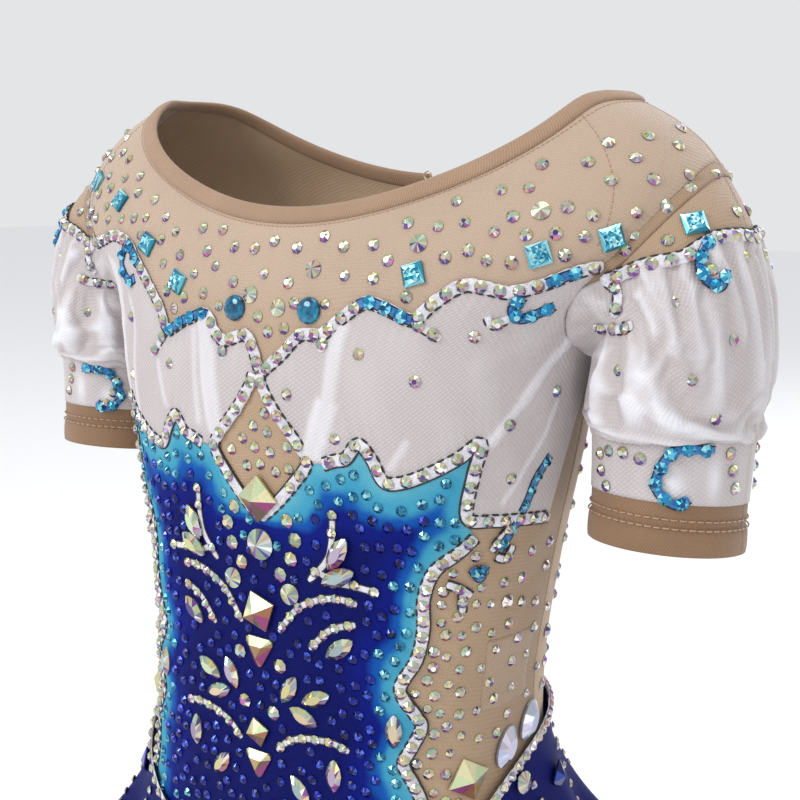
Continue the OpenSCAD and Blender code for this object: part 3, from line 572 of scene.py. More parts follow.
def knit_material(name, light, dark, pitch=0.9, turn=32, sheen=0.25, rough=0.7):
    """Close rib of a folded stretch knit."""
    s = Shader(name, Roughness=rough, Sheen_Weight=sheen, Sheen_Roughness=0.4)
    rib = s.lines(s.cloth(turn), pitch, 0.6)
    cross = s.lines(s.cloth(turn + 90), pitch * 0.7, 0.4)
    cloud = s.noise(40, 3)
    weave = s.math("MULTIPLY", rib, s.math("ADD", s.math("MULTIPLY", cross, 0.4), 0.6), True)
    tone = s.mix(s.math("ADD", s.math("MULTIPLY", weave, 0.5), s.math("MULTIPLY", cloud, 0.5), True),
                 (*dark, 1), (*light, 1))
    s.colour(tone)
    s.roughness(rough - 0.1, rough + 0.1, weave)
    s.bump(weave, 0.0003, 0.6)
    return s.material


def dyed_material():
    """Panel airbrushed from aqua at its edges through royal blue to navy."""
    s = Shader("dyed_blue", Roughness=0.6, Specular_IOR_Level=0.1)
    blur = s.math("MULTIPLY", s.math("SUBTRACT", s.noise(55, 3), 0.5), 12.0)
    depth = s.math("DIVIDE", s.math("ADD", s.attribute("edge"), blur), 40.0, True)
    tone = s.ramp(depth, [(0.0, rgb(100, 176, 192)), (0.24, rgb(64, 154, 184)), (0.40, rgb(12, 80, 162)),
                          (0.56, rgb(2, 14, 112)), (1.0, rgb(1, 2, 82))])
    knit = s.lines(s.cloth(90), 0.7, 0.5)
    tone = s.mix(s.math("MULTIPLY", knit, 0.04), tone, rgba(60, 110, 225))
    s.colour(tone)
    s.roughness(0.55, 0.75, knit)
    s.bump(knit, 0.00025, 0.5)
    return s.material


def plain_fabric(name, colour, dark, pitch=0.7, rough=0.55, sheen=0.2, shine=0.5):
    s = Shader(name, Roughness=rough, Sheen_Weight=sheen, Sheen_Roughness=0.4, Specular_IOR_Level=shine)
    knit = s.lines(s.cloth(90), pitch, 0.5)
    cloud = s.noise(30, 3)
    tone = s.mix(s.math("ADD", s.math("MULTIPLY", knit, 0.35), s.math("MULTIPLY", cloud, 0.5), True),
                 (*dark, 1), (*colour, 1))
    s.colour(tone)
    s.roughness(rough - 0.1, rough + 0.12, knit)
    s.bump(knit, 0.00025, 0.5)
    return s.material


def strip_material(name, light, dark):
    """Felt-like appliqué tape, matt and a little frayed."""
    s = Shader(name, Roughness=0.9, Sheen_Weight=0.3)
    fibre = s.noise(1400, 4)
    cloud = s.noise(160, 3)
    mixed = s.math("ADD", s.math("MULTIPLY", fibre, 0.6), s.math("MULTIPLY", cloud, 0.5), True)
    s.colour(s.ramp(mixed, [(0.3, dark), (0.75, light)]))
    s.roughness(0.75, 0.95, cloud)
    s.bump(fibre, 0.0003, 0.8)
    return s.material


def thread_material(name, colour, light):
    s = Shader(name, Roughness=0.5)
    twist = s.noise(2600, 2)
    s.colour(s.mix(twist, (*colour, 1), (*light, 1)))
    s.roughness(0.4, 0.65, twist)
    s.bump(twist, 0.0002, 0.6)
    return s.material


def crystal_material(name, metallic=0.8, rough=0.1):
    """Foiled, cut stone: each facet's tint, the coating colour with painted light, shade and glints, under a hard
    clear surface.
    """
    s = Shader(name, Metallic=metallic, IOR=1.6, Coat_Weight=0.25, Coat_Roughness=0.03)
    s.bsdf.inputs["Roughness"].default_value = rough
    tint = s.node("ShaderNodeAttribute", {"attribute_name": "tint"}).outputs["Color"]
    cloud = s.noise(900, 2)
    s.colour(s.mix(s.math("MULTIPLY", cloud, 0.25), tint, rgba(255, 255, 250), "SOFT_LIGHT"))
    s.roughness(rough * 0.6, rough * 1.6, cloud)
    return s.material


def dome_material():
    """Domed stone whose crackled foil shows through it."""
    s = Shader("teal_dome", IOR=1.5, Coat_Weight=0.5, Coat_Roughness=0.02, Metallic=0.3)
    coords = s.node("ShaderNodeTexCoord").outputs["Object"]
    cells = s.node("ShaderNodeTexVoronoi", Vector=coords, Scale=420.0)
    swirl = s.noise(260, 3)
    fire = s.math("MULTIPLY", s.math("POWER", swirl, 2.0), cells.outputs["Distance"], True)
    s.colour(s.ramp(fire, [(0.0, rgb(0, 34, 58)), (0.08, rgb(0, 84, 116)), (0.2, rgb(0, 122, 156)),
                           (0.5, rgb(24, 176, 204))]))
    s.roughness(0.08, 0.2, swirl)
    return s.material


def metal_material(name, colour, rough=0.3):
    s = Shader(name, Metallic=0.9)
    wear = s.noise(700, 3)
    s.colour(s.mix(wear, (*colour, 1), (*[c * 0.7 for c in colour], 1)))
    s.roughness(rough, rough + 0.2, wear)
    s.bump(wear, 0.0001, 0.3)
    return s.material


NUDE = mesh_material("nude_mesh", rgb(192, 165, 136), rgb(142, 112, 80), 1.1, fold=rgb(188, 166, 148))
NUDE_DOUBLE = mesh_material("nude_double", rgb(170, 140, 112), rgb(126, 98, 72), 1.0, turn=30)
TRIM = knit_material("nude_trim", rgb(180, 148, 122), rgb(140, 110, 84))
WHITE = mesh_material("white_mesh", rgb(204, 196, 196), rgb(164, 152, 150), 1.3, turn=52,
                      sheen=0.15, net=0.7, fold=rgb(226, 225, 230))
NAVY = plain_fabric("royal_fabric", rgb(12, 24, 118), rgb(4, 7, 62), 0.7, 0.6, 0.0, 0.1)
DYED = dyed_material()
STRIP = strip_material("white_strip", rgb(232, 230, 236), rgb(176, 172, 180))
AQUA_STRIP = strip_material("aqua_strip", rgb(70, 140, 200), rgb(20, 70, 150))
CORD = thread_material("black_cord", rgb(14, 14, 18), rgb(44, 44, 52))
STITCH = thread_material("stitch", rgb(166, 132, 104), rgb(192, 160, 132))
SEAM = thread_material("seam_thread", rgb(150, 120, 94), rgb(184, 152, 124))
TAPE = plain_fabric("zip_tape", rgb(206, 178, 150), rgb(176, 146, 118), 0.5, 0.8)
COIL = plain_fabric("zip_coil", rgb(214, 190, 160), rgb(180, 152, 124), 0.4, 0.45, 0.0)
METAL = metal_material("zip_metal", rgb(216, 200, 176))
LABEL = plain_fabric("label_satin", rgb(226, 214, 200), rgb(204, 188, 168), 0.4, 0.5)
CRYSTAL = crystal_material("crystal_ab")
BROAD = crystal_material("crystal_broad", 0.7, 0.3)
AQUA = crystal_material("crystal_aqua", 0.7, 0.1)
SAPPHIRE = crystal_material("crystal_sapphire", 0.7, 0.12)
GHOST = mesh_material("label_seen_through", rgb(194, 168, 142), rgb(150, 124, 98), 1.1)
CAP = mesh_material("nude_cap", rgb(184, 156, 128), rgb(146, 118, 92), 1.1, turn=40)
CUFF = knit_material("nude_cuff", rgb(156, 122, 92), rgb(120, 90, 64))
DOME = dome_material()


# --- Torso fabric ------------------------------------------------------------------------

half_cols, upper_rows, lower_rows = 64, 44, 84


TUCK = 0.5                # where in the binding's height the mesh ends


def panel_top(s, neck_end, scoop, edge):
    u = np.minimum(s / neck_end, 1)
    a = edge + (90 - edge) * u
    neck = NECK_Z - scoop * np.cos(np.radians(a)) ** 5 - TUCK * below_binding(a)
    ridge = NECK_Z - TUCK * below_binding(90)
    down = ridge + (armhole(0)[1] - ridge) * np.clip((s - neck_end) / (1 - neck_end), 0, 1)
    return a, np.where(s <= neck_end, neck, down)


def half_panel(scoop, edge_of):
    """Places of half a bodice panel, centre edge to side seam, neck to hip."""
    s = np.linspace(0, 1, half_cols)[None, :]
    v = np.linspace(1, 0, upper_rows)[:, None]
    edge = edge_of(np.array([ARMPIT_Z]))[0]
    top_a, top_z = panel_top(s, 0.84, scoop, edge)
    arm_a, arm_z = armhole(180 * (1 - v))
    z0 = top_z[0, 0]
    a = ((1 - v) * (edge + (90 - edge) * s) + v * top_a + (1 - s) * edge + s * arm_a
         - (1 - v) * ((1 - s) * edge + s * 90) - v * ((1 - s) * edge + s * 90))
    z = ((1 - v) * ARMPIT_Z + v * top_z + (1 - s) * (ARMPIT_Z + (z0 - ARMPIT_Z) * v) + s * arm_z
         - (1 - v) * ARMPIT_Z - v * ((1 - s) * z0 + s * armhole(0)[1]))
    low_z = np.linspace(ARMPIT_Z, LOW_Z, lower_rows + 1)[1:, None]
    low_edge = edge_of(low_z)
    low_a = low_edge + (90 - low_edge) * s
    return np.vstack([a, low_a]), np.vstack([z, np.broadcast_to(low_z, low_a.shape)])


def zip_edge(z):
    """Angle from the centre back at which a back panel starts."""
    x = np.clip((z + 237) / 5, 0.01, 1) * 3.2
    return np.degrees(np.arcsin(x / (section(z)[0] * (1 + BULGE_BACK))))


def build_front():
    a, z = half_panel(FRONT_SCOOP, lambda z: z * 0)
    a, z = np.hstack([-a[:, :0:-1], a]), np.hstack([z[:, :0:-1], z])
    # deep is painted shade: the mesh darkens towards both sides below the armpit, where the body turns away from the
    # light
    deep = 0.6 * np.clip((np.abs(a) - 52) / 40, 0, 1) * np.clip((-112 - z) / 30, 0, 1)
    pale = 0.6 * np.clip((z + 125) / 40, 0, 1)
    piece = grid_piece("front_mesh", on(a, z), attrs=[("deep", deep), ("fold", pale)])
    thicken(piece, 0.4)
    place(piece, NUDE, "nude_mesh", "front_mesh_panel")


def build_backs():
    a, z = half_panel(BACK_SCOOP, zip_edge)
    for name, sign in (("left", 1), ("right", -1)):
        angle = sign * (180 - a)
        points = on(angle, z)
        if sign > 0:
            points = points[:, ::-1]
        piece = grid_piece(f"back_{name}_mesh", points)
        thicken(piece, 0.4)
        place(piece, NUDE, "nude_mesh", f"back_{name}_panel")


def build_briefs():
    span = np.linspace(-89.85, 89.85, 97)
    v = np.linspace(0, 1, 40)[:, None]
    for name, mid, leg in (("front", 0, front_leg), ("back", 180, back_leg)):
        a = np.broadcast_to(mid + span, (len(v), len(span)))
        top = LOW_Z + 1.0
        z = top + (leg(span) - top) * v
        piece = grid_piece(f"{name}_brief_cloth", on(a, z, 0.1))
        thicken(piece, 0.5)
        place(piece, NAVY, "navy_fabric", f"{name}_brief")


GUSSET_HALF = 18


def gusset_point(s, u, off=0.0):
    front = skin(GUSSET_HALF * s, CROTCH_Z)
    back = skin(180 - GUSSET_HALF * s, CROTCH_Z)
    sag = (20 + off) * np.sin(np.pi * np.clip(u, 0, 1)) ** 0.6
    return front + (back - front) * u[..., None] + np.stack([sag * 0, sag * 0, -0.4 - sag], -1)


def build_gusset():
    u, s = np.meshgrid(np.linspace(0, 1, 40), np.linspace(-1, 1, 21), indexing="ij")
    piece = grid_piece("gusset_cloth", gusset_point(s, u))
    thicken(piece, 0.5)
    place(piece, NAVY, "navy_fabric", "gusset")


def build_leg_elastics():
    gap = 1.4
    a = np.linspace(89, GUSSET_HALF + 3, 60)
    u = np.linspace(0.04, 0.96, 40)
    front = on(a, front_leg(a) - gap, 0.4)
    under = gusset_point(np.ones(40), u, 1) + (1.4, 0, 0)
    back = on(180 - a[::-1], back_leg(180 - a[::-1]) - gap, 0.4)
    loop = np.vstack([front, under, back, front[:1]])
    normals = np.vstack([skin_normal(a, front_leg(a)), np.tile([0.3, 0, -1.0], (40, 1)),
                         skin_normal(180 - a[::-1], back_leg(a[::-1])),
                         skin_normal(a, front_leg(a))[:1]])
    for name, sign in (("left", 1), ("right", -1)):
        flipped = np.array([sign, 1, 1])
        verts, faces = tube(loop * flipped, unit(normals) * flipped, 1.9, 1.0, 10)
        if sign < 0:
            faces = [f[::-1] for f in faces]
        piece = make(f"{name}_leg_binding", verts, faces)
        place(piece, NAVY, "navy_fabric", f"{name}_leg_elastic")


def build_binding():
    """Folded binding round the neck with a ditch where it is sewn to the mesh."""
    gap = 1.6
    a = 180 - gap - np.linspace(0, 360 - 2 * gap, 420)
    c = np.cos(np.radians(a))
    top = np.where(c > 0, front_neck(a), back_neck(a))
    mid = top - below_binding(a) * 0.44
    path = skin(a, mid) + 0.35 * skin_normal(a, mid)
    normals = skin_normal(a, mid)
    heading = unit(np.gradient(path, axis=0))
    side = unit(np.cross(heading, normals))
    out = unit(np.cross(side, heading))
    wobble = 1 + 0.03 * np.sin(np.arange(420) * 0.37) + 0.02 * np.sin(np.arange(420) * 0.91)
    ang = np.linspace(0, 2 * np.pi, 20, endpoint=False)
    x = 0.5 * BINDING_H * np.sign(np.cos(ang)) * np.abs(np.cos(ang)) ** 0.8
    y = 0.5 * BINDING_T * np.sign(np.sin(ang)) * np.abs(np.sin(ang)) ** 0.8
    points = (path[:, None] + x[None, :, None] * side[:, None]
              + (y[None, :] * wobble[:, None])[..., None] * out[:, None])
    rows = points.transpose(1, 0, 2)
    n = len(path)
    faces = []
    for k in range(20):
        j = (k + 1) % 20
        faces += [(k * n + i, j * n + i, j * n + i + 1, k * n + i + 1) for i in range(n - 1)]
    faces.append(tuple(k * n for k in range(19, -1, -1)))
    faces.append(tuple(k * n + n - 1 for k in range(20)))
    u = np.concatenate([[0], np.cumsum(np.linalg.norm(np.diff(path, axis=0), axis=1))])
    uv = np.stack(np.broadcast_arrays(u[None, :], (ang * 2.2)[:, None]), -1).reshape(-1, 2)
    piece = make("neck_binding_knit", rows.reshape(-1, 3), faces, uv=uv)
    place(piece, TRIM, "nude_trim", "neck_binding")


# Pleats of the gathered mesh over the bust: from, to, half width, height
PLEATS = [(16, -98, 15.4, -128, 2.4, 0.7), (15.4, -126, 11.5, -151, 4.2, 0.8), (33, -138, 29, -150, 1.1, 0.5),
          (69.5, -86, 70.8, -106, 3.0, 0.8), (70.8, -103, 60.8, -124.6, 2.6, 0.9),
          (61.6, -123, 53.4, -138.6, 2.0, 0.8), (74, -124, 71, -138, 1.0, 0.4), (71.2, -137, 60, -162, 1.0, 0.5)]
RIGHT_PLEATS = [(13, -97, 12, -112, 3.0, 0.9), (12, -110, 10, -146, 3.6, 0.9), (15.5, -104, 14.5, -143, 0.9, 0.4),
                (27, -120, 25, -139, 0.9, 0.4), (42, -82, 50, -112, 4.0, 0.9), (50, -110, 50, -142, 4.0, 0.9),
                (38, -96, 41, -146, 1.4, 0.4), (66, -100, 62, -160, 3.0, 0.7)]


def pleated(a, z, pleats):
    """Height of pleats at places, and how much doubled cloth shows there, 0 to 1."""
    height, shown = np.zeros(len(a)), np.zeros(len(a))
    for a0, z0, a1, z1, half, high in pleats:
        d = np.array([(a1 - a0) * DEG_MM, z1 - z0])
        x, y = (a - a0) * DEG_MM, z - z0
        t = (x * d[0] + y * d[1]) / (d @ d)
        off = np.hypot(x - t * d[0], y - t * d[1])
        ends = np.clip(np.minimum(t + 0.04, 1.04 - t) * 12, 0, 1)
        height = np.maximum(height, high * ends * np.exp(-(off / half) ** 4))
        shown = np.maximum(shown, ends * np.clip((half - off) / 2.2 + 0.5, 0, 1) * (0.72 + 0.28 * off / half))
    return height, shown


def overlay_outline(upper_edge):
    """Edge of one bust half, from the centre along its upper edge, as if on the left."""
    upper = curve(upper_edge) * (1 if upper_edge[-1][0] > 0 else -1, 1)
    arm = np.stack(armhole(np.linspace(92, 174, 30)), -1)
    lower = curve(LOWER_EDGE)[::-1]
    inner = curve([p for p in DIAMOND if p[1] > -152])[::-1]
    return np.vstack([upper, arm, [(87, -112), (85.5, -130), (83, -150)], lower, inner])


def side_of(name):
    """Sign, upper edge and pleats of the left or right bust half."""
    return (1, UPPER_EDGE, PLEATS) if name == "left" else (-1, RIGHT_EDGE, RIGHT_PLEATS)


def build_overlays():
    for name in ("left", "right"):
        sign, upper, pleats = side_of(name)
        outline = overlay_outline(upper)
        places, faces = fill(outline, 1.5)
        a, z = places[:, 0], places[:, 1]
        edge = to_outline(flat(places), flat(np.vstack([outline, outline[:1]])))
        soft = np.clip(edge / 6, 0, 1)
        height, shown = pleated(a, z, pleats)
        pucker = 0.16 * np.sin(a * 2.6 + z * 0.22 + 2 * np.sin(z * 0.09)) * np.exp(-edge / 7) * soft
        sag = 0.25 * np.sin(a * 0.34 + z * 0.05) * np.sin(z * 0.11 + a * 0.1) * soft
        tri = [f[::-1] for f in faces] if sign < 0 else faces
        piece = make(f"{name}_bust_mesh", on(sign * a, z, 0.6 + height + pucker + (0.45 + sag) * soft), tri,
                     uv=flat(places) * (sign, 1),
                     attrs=[("fold", np.clip(0.75 * shown + 1.2 * np.maximum(pucker, 0) + 0.35 * sag, 0, 1))])
        thicken(piece, 0.3)
        place(piece, WHITE, "white_mesh", f"{name}_white_overlay")


def panel_outline():
    half = np.vstack([curve([(0, -176)] + DIAMOND[::-1][1:4]), curve(LOWER_EDGE[:12]),
                      [(51, -170)], curve(SIDE_EDGE), [(45, -318)]])
    return np.vstack([half, (half * (-1, 1))[::-1]])[:-1]


def build_panel():
    outline = panel_outline()
    places, faces = fill(outline, 2.2)
    border = np.vstack([curve([(0, -176)] + DIAMOND[::-1][1:4]), curve(LOWER_EDGE[:12]), curve(SIDE_EDGE)])
    reach = np.minimum(to_outline(flat(places), flat(border)), to_outline(flat(places), flat(border * (-1, 1))))
    top = np.clip((places[:, 1] + 175) / 30, 0, 1) * np.clip((np.abs(places[:, 0]) - 14) / 10, 0, 1)
    lower = np.clip((-262 - places[:, 1]) / 30, 0, 1)
    shade = reach * (1.25 - 0.45 * top + 0.1 * np.sin(places[:, 1] * 0.12) - 0.35 * lower)
    middle = np.clip(1 - np.abs(places[:, 0]) / 12, 0, 1) * np.clip((-172 - places[:, 1]) / 8, 0, 1)
    piece = make("blue_panel_cloth", on(places[:, 0], places[:, 1], 0.65), faces,
                 uv=flat(places), attrs=[("edge", shade + 22 * middle)])
    thicken(piece, 0.4)
    place(piece, DYED, "blue_dyed_fabric", "blue_front_panel")


# --- Borders ------------------------------------------------------------------------------

STRIP_OFF = 0.95          # underside of the strips, above the panel and overlays
STRIP_TOP = 1.75


def ribbon(bundle, points, normals, width, height=0.75):
    """A strip of tape with rounded, slightly uneven edges."""
    n = len(points)
    wave = 1 + 0.07 * np.sin(np.arange(n) * 1.7) + 0.05 * np.sin(np.arange(n) * 3.1 + 1)
    taper = np.clip(np.minimum(np.arange(n), n - 1 - np.arange(n)) / 3 + 0.55, 0, 1)
    verts, faces = tube(points, normals, width / 2 * wave * taper, height / 2, 10)
    bundle.add(verts, faces)


def line_on(places, off, fine=6, at=on, normal=skin_normal):
    p = curve(places, fine)
    return at(p[:, 0], p[:, 1], np.full(len(p), float(off))), normal(p[:, 0], p[:, 1])


def beside(points, normals, shift):
    side = unit(np.cross(unit(np.gradient(points, axis=0)), normals))
    return points + side * np.asarray(shift)[..., None]


def cord(bundle, points, normals, radius=0.5):
    verts, faces = tube(points, normals, radius, radius, 6)
    bundle.add(verts, faces)


def dashes(bundle, points, normals, radius=0.42, dash=2.6, gap=1.5):
    """Broken line of stitches along a path."""
    reach = np.concatenate([[0], np.cumsum(np.linalg.norm(np.diff(points, axis=0), axis=1))])
    start = 0.4
    while start + dash < reach[-1]:
        at = np.linspace(start, start + dash, 5)
        seg = np.stack([np.interp(at, reach, points[:, k]) for k in range(3)], -1)
        nor = unit(np.stack([np.interp(at, reach, normals[:, k]) for k in range(3)], -1))
        sink = np.array([-0.5, 0, 0.1, 0, -0.5])[:, None] * radius
        verts, faces = tube(seg + nor * sink, nor, radius, radius, 6)
        bundle.add(verts, faces)
        start += dash + gap


def build_borders():
    """White strips with a solid black cord on one side and stitches on the other."""
    cords, blues, width = Bundle(), Bundle(), 4.8
    hooks = [HOOK_TAIL, UPPER_TAIL, UPPER_SPUR]
    groups = {
        "upper_border_left": [UPPER_EDGE] + hooks,
        "upper_border_right": [RIGHT_EDGE, RIGHT_TAIL, RIGHT_SPUR],
        "lower_border": both(LOWER_EDGE),
        "diamond_border": both(DIAMOND),
        "side_border_left": [SIDE_EDGE] + SIDE_TRIM,
        "side_border_right": [flip(line) for line in [SIDE_EDGE] + SIDE_TRIM]}
    for node, lines in groups.items():
        strips = Bundle()
        for line in lines:
            slim = len(line) < 5
            p, n = line_on(line, STRIP_OFF + 0.35)
            ribbon(strips, p, n, 3.0 if slim else width)
            hand = 1 if line[-1][0] > 0 or line[1][0] > 0 else -1
            edge = np.full(len(p), hand * (3.2 if slim else width) / 2)
            low, high = beside(p, n, edge), beside(p, n, -edge)
            if node.startswith("upper"):
                dashes(cords, low, n)
            elif node.startswith("lower"):
                cord(cords, low - n * 0.2, n)
                dashes(cords, high, n)
            elif node.startswith("diamond"):
                dashes(cords, high, n)
                start = int(len(p) * 0.5)
                cord(cords, (low - n * 0.2)[start:], n[start:])
            else:
                cord(cords, high - n * 0.2, n)
                dashes(cords, low, n)
        place(strips.piece(f"{node}_strip"), STRIP, "white_trim", node)

    twigs = Bundle()
    for line in BRANCHES:
        for places in both(line):
            p, n = line_on(places, STRIP_OFF + 0.2)
            ribbon(twigs, p, n, 2.6, 0.6)
            for shift in (1.35, -1.35):
                cord(cords, beside(p, n, np.full(len(p), shift)) - n * 0.1, n, 0.35)
    place(twigs.piece("scroll_strips"), STRIP, "white_trim", "scroll_branches")

    # Blue base under the aqua runs of the torso
    hooks = [UPPER_HOOK, RIGHT_HOOK] + both(TEAL_EDGE) + both(TEAL_TAIL) + both(TEAL_HEART)
    edges = [[q for q in curve(line) if is_aqua(q)] for line in (UPPER_EDGE, RIGHT_EDGE)]
    for line in [curve(hook, 4) for hook in hooks] + edges:
        for run in runs_of(line):
            p, n = line_on(run, STRIP_OFF + 0.6, 3)
            ribbon(blues, p, n, 3.4, 0.7)
            for shift in (1.8, -1.8):
                cord(cords, beside(p, n, np.full(len(p), shift)), n, 0.3)

    for name, sign in (("left", 1), ("right", -1)):
        strips = Bundle()
        mirror = np.array([sign, 1, 1])

        def sleeve_strip(bundle, line, breadth, off, fine=8):
            q = curve(line, fine)
            p = on_sleeve(q[:, 0], q[:, 1], np.full(len(q), off)) * mirror
            n = sleeve_normal(q[:, 0], q[:, 1]) * mirror
            ribbon(bundle, p, n, breadth)
            return p, n

        t = np.linspace(-SHOULDER_BORDER, SHOULDER_BORDER, 60)
        p, n = sleeve_strip(strips, list(zip(t, scallop(t) + 0.06)), 4.6, 1.5, 3)
        dashes(cords, beside(p, n, np.full(len(p), sign * 2.3)), n)
        for way in (1, -1):
            for line in (SLEEVE_HOOK, SLEEVE_FOOT):
                p, n = sleeve_strip(strips, [(way * a, w) for a, w in line], 3.4, 1.5)
                dashes(cords, beside(p, n, np.full(len(p), 1.7)), n)
            for line in swirls(sign, way):
                p, n = sleeve_strip(blues, line, 3.2, 1.6)
                cord(cords, beside(p, n, np.full(len(p), 1.7)), n, 0.3)
        place(strips.piece(f"{name}_sleeve_strip"), STRIP, "white_trim", f"{name}_sleeve_border")
    place(blues.piece("aqua_run_strips"), AQUA_STRIP, "blue_dyed_fabric")
    place(cords.piece("black_edge_cords"), CORD, "white_trim")


def runs_of(line):
    """A line of close places split where it jumps."""
    runs, run = [], [tuple(line[0])]
    for q in line[1:]:
        if math.dist(q, run[-1]) > 3:
            runs.append(run)
            run = []
        run.append(tuple(q))
    return [r for r in runs + [run] if len(r) > 2]


def is_aqua(place_):
    a, z = place_
    if a > 0:
        return 17.6 < a < 28.8 or 48.5 < a < 53.5
    return 11.5 < -a < 24.2 and z < -98 or 29.6 < -a < 32.2


def swirls(sign, way):
    """Aqua curls at the top and the band of a sleeve; way 1 is its front."""
    swing = 54 if sign < 0 and way > 0 else 0
    top = [(36, 1.1), (43, 1.13), (49, 1.3), (47, 1.52), (40, 1.66), (34, 1.5)]
    low = [(41, 4.14), (54, 4.12), (66, 4.14), (73, 4.33), (77, 4.55), (78, 4.75), (72, 4.93), (63, 5.02), (56, 4.9)]
    return [[(way * a, w) for a, w in top], [(way * (a + swing), w) for a, w in low]]


# --- Stones -------------------------------------------------------------------------------


def solid_of(rings, tip=None):
    """Points and faces of a cut stone from rings (radius, height, sides, turn)."""
    verts, faces, start = [], [], []
    for radius, height, sides, turn in rings:
        ang = 2 * np.pi * (np.arange(sides) + turn) / sides
        start.append(len(verts))
        verts += [(radius * math.cos(t), radius * math.sin(t), height) for t in ang]
    faces.append(tuple(range(rings[0][2] - 1, -1, -1)))
    for (_, _, n, turn), (_, _, m, other), s, e in zip(rings, rings[1:], start, start[1:]):
        if turn == other:
            faces += [(s + k, s + (k + 1) % n, e + (k + 1) % n, e + k) for k in range(n)]
        else:
            faces += [(s + k, s + (k + 1) % n, e + k) for k in range(n)]
            faces += [(s + (k + 1) % n, e + (k + 1) % n, e + k) for k in range(n)]
    n, s = rings[-1][2], start[-1]
    if tip is None:
        faces.append(tuple(s + k for k in range(n)))
    else:
        verts.append((0, 0, tip))
        faces += [(s + k, s + (k + 1) % n, len(verts) - 1) for k in range(n)]
    return np.array(verts, float), faces


ROUND = solid_of([(1, 0, 8, 0), (1, 0.14, 8, 0), (0.42, 0.62, 8, 0.5)])
POINTED = solid_of([(1, 0, 16, 0), (1, 0.14, 16, 0)], 0.62)
RIVOLI = solid_of([(1, 0, 20, 0), (1, 0.10, 20, 0)], 0.5)
OVAL = solid_of([(1, 0, 14, 0), (1, 0.12, 14, 0), (0.5, 0.45, 14, 0.5)])


def diamond_tip():
    """Four-sided pyramid on a thin girdle, each side split by a break line."""
    r = 1.0
    verts = [(r, 0, 0), (0, r, 0), (-r, 0, 0), (0, -r, 0), (r, 0, 0.1), (0, r, 0.1), (-r, 0, 0.1),
             (0, -r, 0.1), (0, 0, 0.52)]
    mids = [(0.5, 0.5, 0.1), (-0.5, 0.5, 0.1), (-0.5, -0.5, 0.1), (0.5, -0.5, 0.1)]
    verts += mids
    faces = [(3, 2, 1, 0)]
    for k in range(4):
        j = (k + 1) % 4
        faces += [(k, j, 4 + j, 9 + k, 4 + k), (4 + k, 9 + k, 8), (9 + k, 4 + j, 8)]
    return np.array(verts, float), faces


def princess():
    """Square stone with a crackled table inside a bevelled edge."""
    n = 6
    verts = [(x, y, 0) for x, y in ((-1, -1), (1, -1), (1, 1), (-1, 1))]
    verts += [(x, y, 0.25) for x, y in ((-1, -1), (1, -1), (1, 1), (-1, 1))]
    faces = [(3, 2, 1, 0)] + [(k, (k + 1) % 4, 4 + (k + 1) % 4, 4 + k) for k in range(4)]
    grid = np.linspace(-0.74, 0.74, n)
    bumps = np.random.default_rng(5).uniform(-0.05, 0.05, (n, n))
    base = len(verts)
    for j, y in enumerate(grid):
        for i, x in enumerate(grid):
            rim = i in (0, n - 1) or j in (0, n - 1)
            verts.append((x, y, 0.48 + (0 if rim else bumps[j, i])))
    at = lambda i, j: base + j * n + i
    for j in range(n - 1):
        for i in range(n - 1):
            quad = (at(i, j), at(i + 1, j), at(i + 1, j + 1), at(i, j + 1))
            faces += [quad[:3], (quad[0], quad[2], quad[3])] if (i + j) % 2 else [
                (quad[0], quad[1], quad[3]), quad[1:]]
    walk = [[at(i, 0) for i in range(n)], [at(n - 1, j) for j in range(n)],
            [at(i, n - 1) for i in range(n - 1, -1, -1)], [at(0, j) for j in range(n - 1, -1, -1)]]
    for k, side in enumerate(walk):
        a, b = 4 + k, 4 + (k + 1) % 4
        faces.append((a, b, side[-1]))
        faces += [(a, side[i + 1], side[i]) for i in range(n - 1)]
    return np.array(verts, float), faces


def navette():
    """Pointed oval with a ridge along it, 2 long and 0.98 wide."""
    wide, n = 0.49, 12
    ang = np.pi * (np.arange(n) / (n / 2))
    x = np.cos(ang)
    y = wide * np.sign(np.sin(ang)) * (1 - x * x) ** 0.75
    verts = [(p, q, 0) for p, q in zip(x, y)] + [(p, q, 0.1) for p, q in zip(x, y)]
    inner = np.stack([x * 0.55, y * 0.5], -1)
    verts += [(p, q, 0.36) for p, q in inner]
    faces = [tuple(range(n - 1, -1, -1))]
    for k in range(n):
        j = (k + 1) % n
        faces += [(k, j, n + j, n + k), (n + k, n + j, 2 * n + k), (n + j, 2 * n + j, 2 * n + k)]
    faces.append(tuple(2 * n + k for k in range(n)))
    return np.array(verts, float), faces


def triangle():
    """Rounded triangle, point down, with a small table."""
    ang = np.radians([-90, -78, 18, 30, 42, 138, 150, 162, 258])
    r = np.where(np.isin(np.arange(9), [0, 3, 6]), 1.0, 0.93)
    outer = np.stack([r * np.cos(ang), r * np.sin(ang)], -1)
    verts = [(*p, 0) for p in outer] + [(*p, 0.1) for p in outer]
    verts += [(0.45 * math.cos(t), 0.45 * math.sin(t), 0.42) for t in np.radians([-90, 30, 150])]
    faces = [tuple(range(8, -1, -1))]
    faces += [(k, (k + 1) % 9, 9 + (k + 1) % 9, 9 + k) for k in range(9)]
    owner = [0, 0, 1, 1, 1, 2, 2, 2, 0]
    for k in range(9):
        j = (k + 1) % 9
        faces.append((9 + k, 9 + j, 18 + owner[k]))
        if owner[k] != owner[j]:
            faces.append((9 + j, 18 + owner[j], 18 + owner[k]))
    faces.append((18, 19, 20))
    return np.array(verts, float), faces


PYRAMID, SQUARE, NAVETTE, TRIANGLE = diamond_tip(), princess(), navette(), triangle()
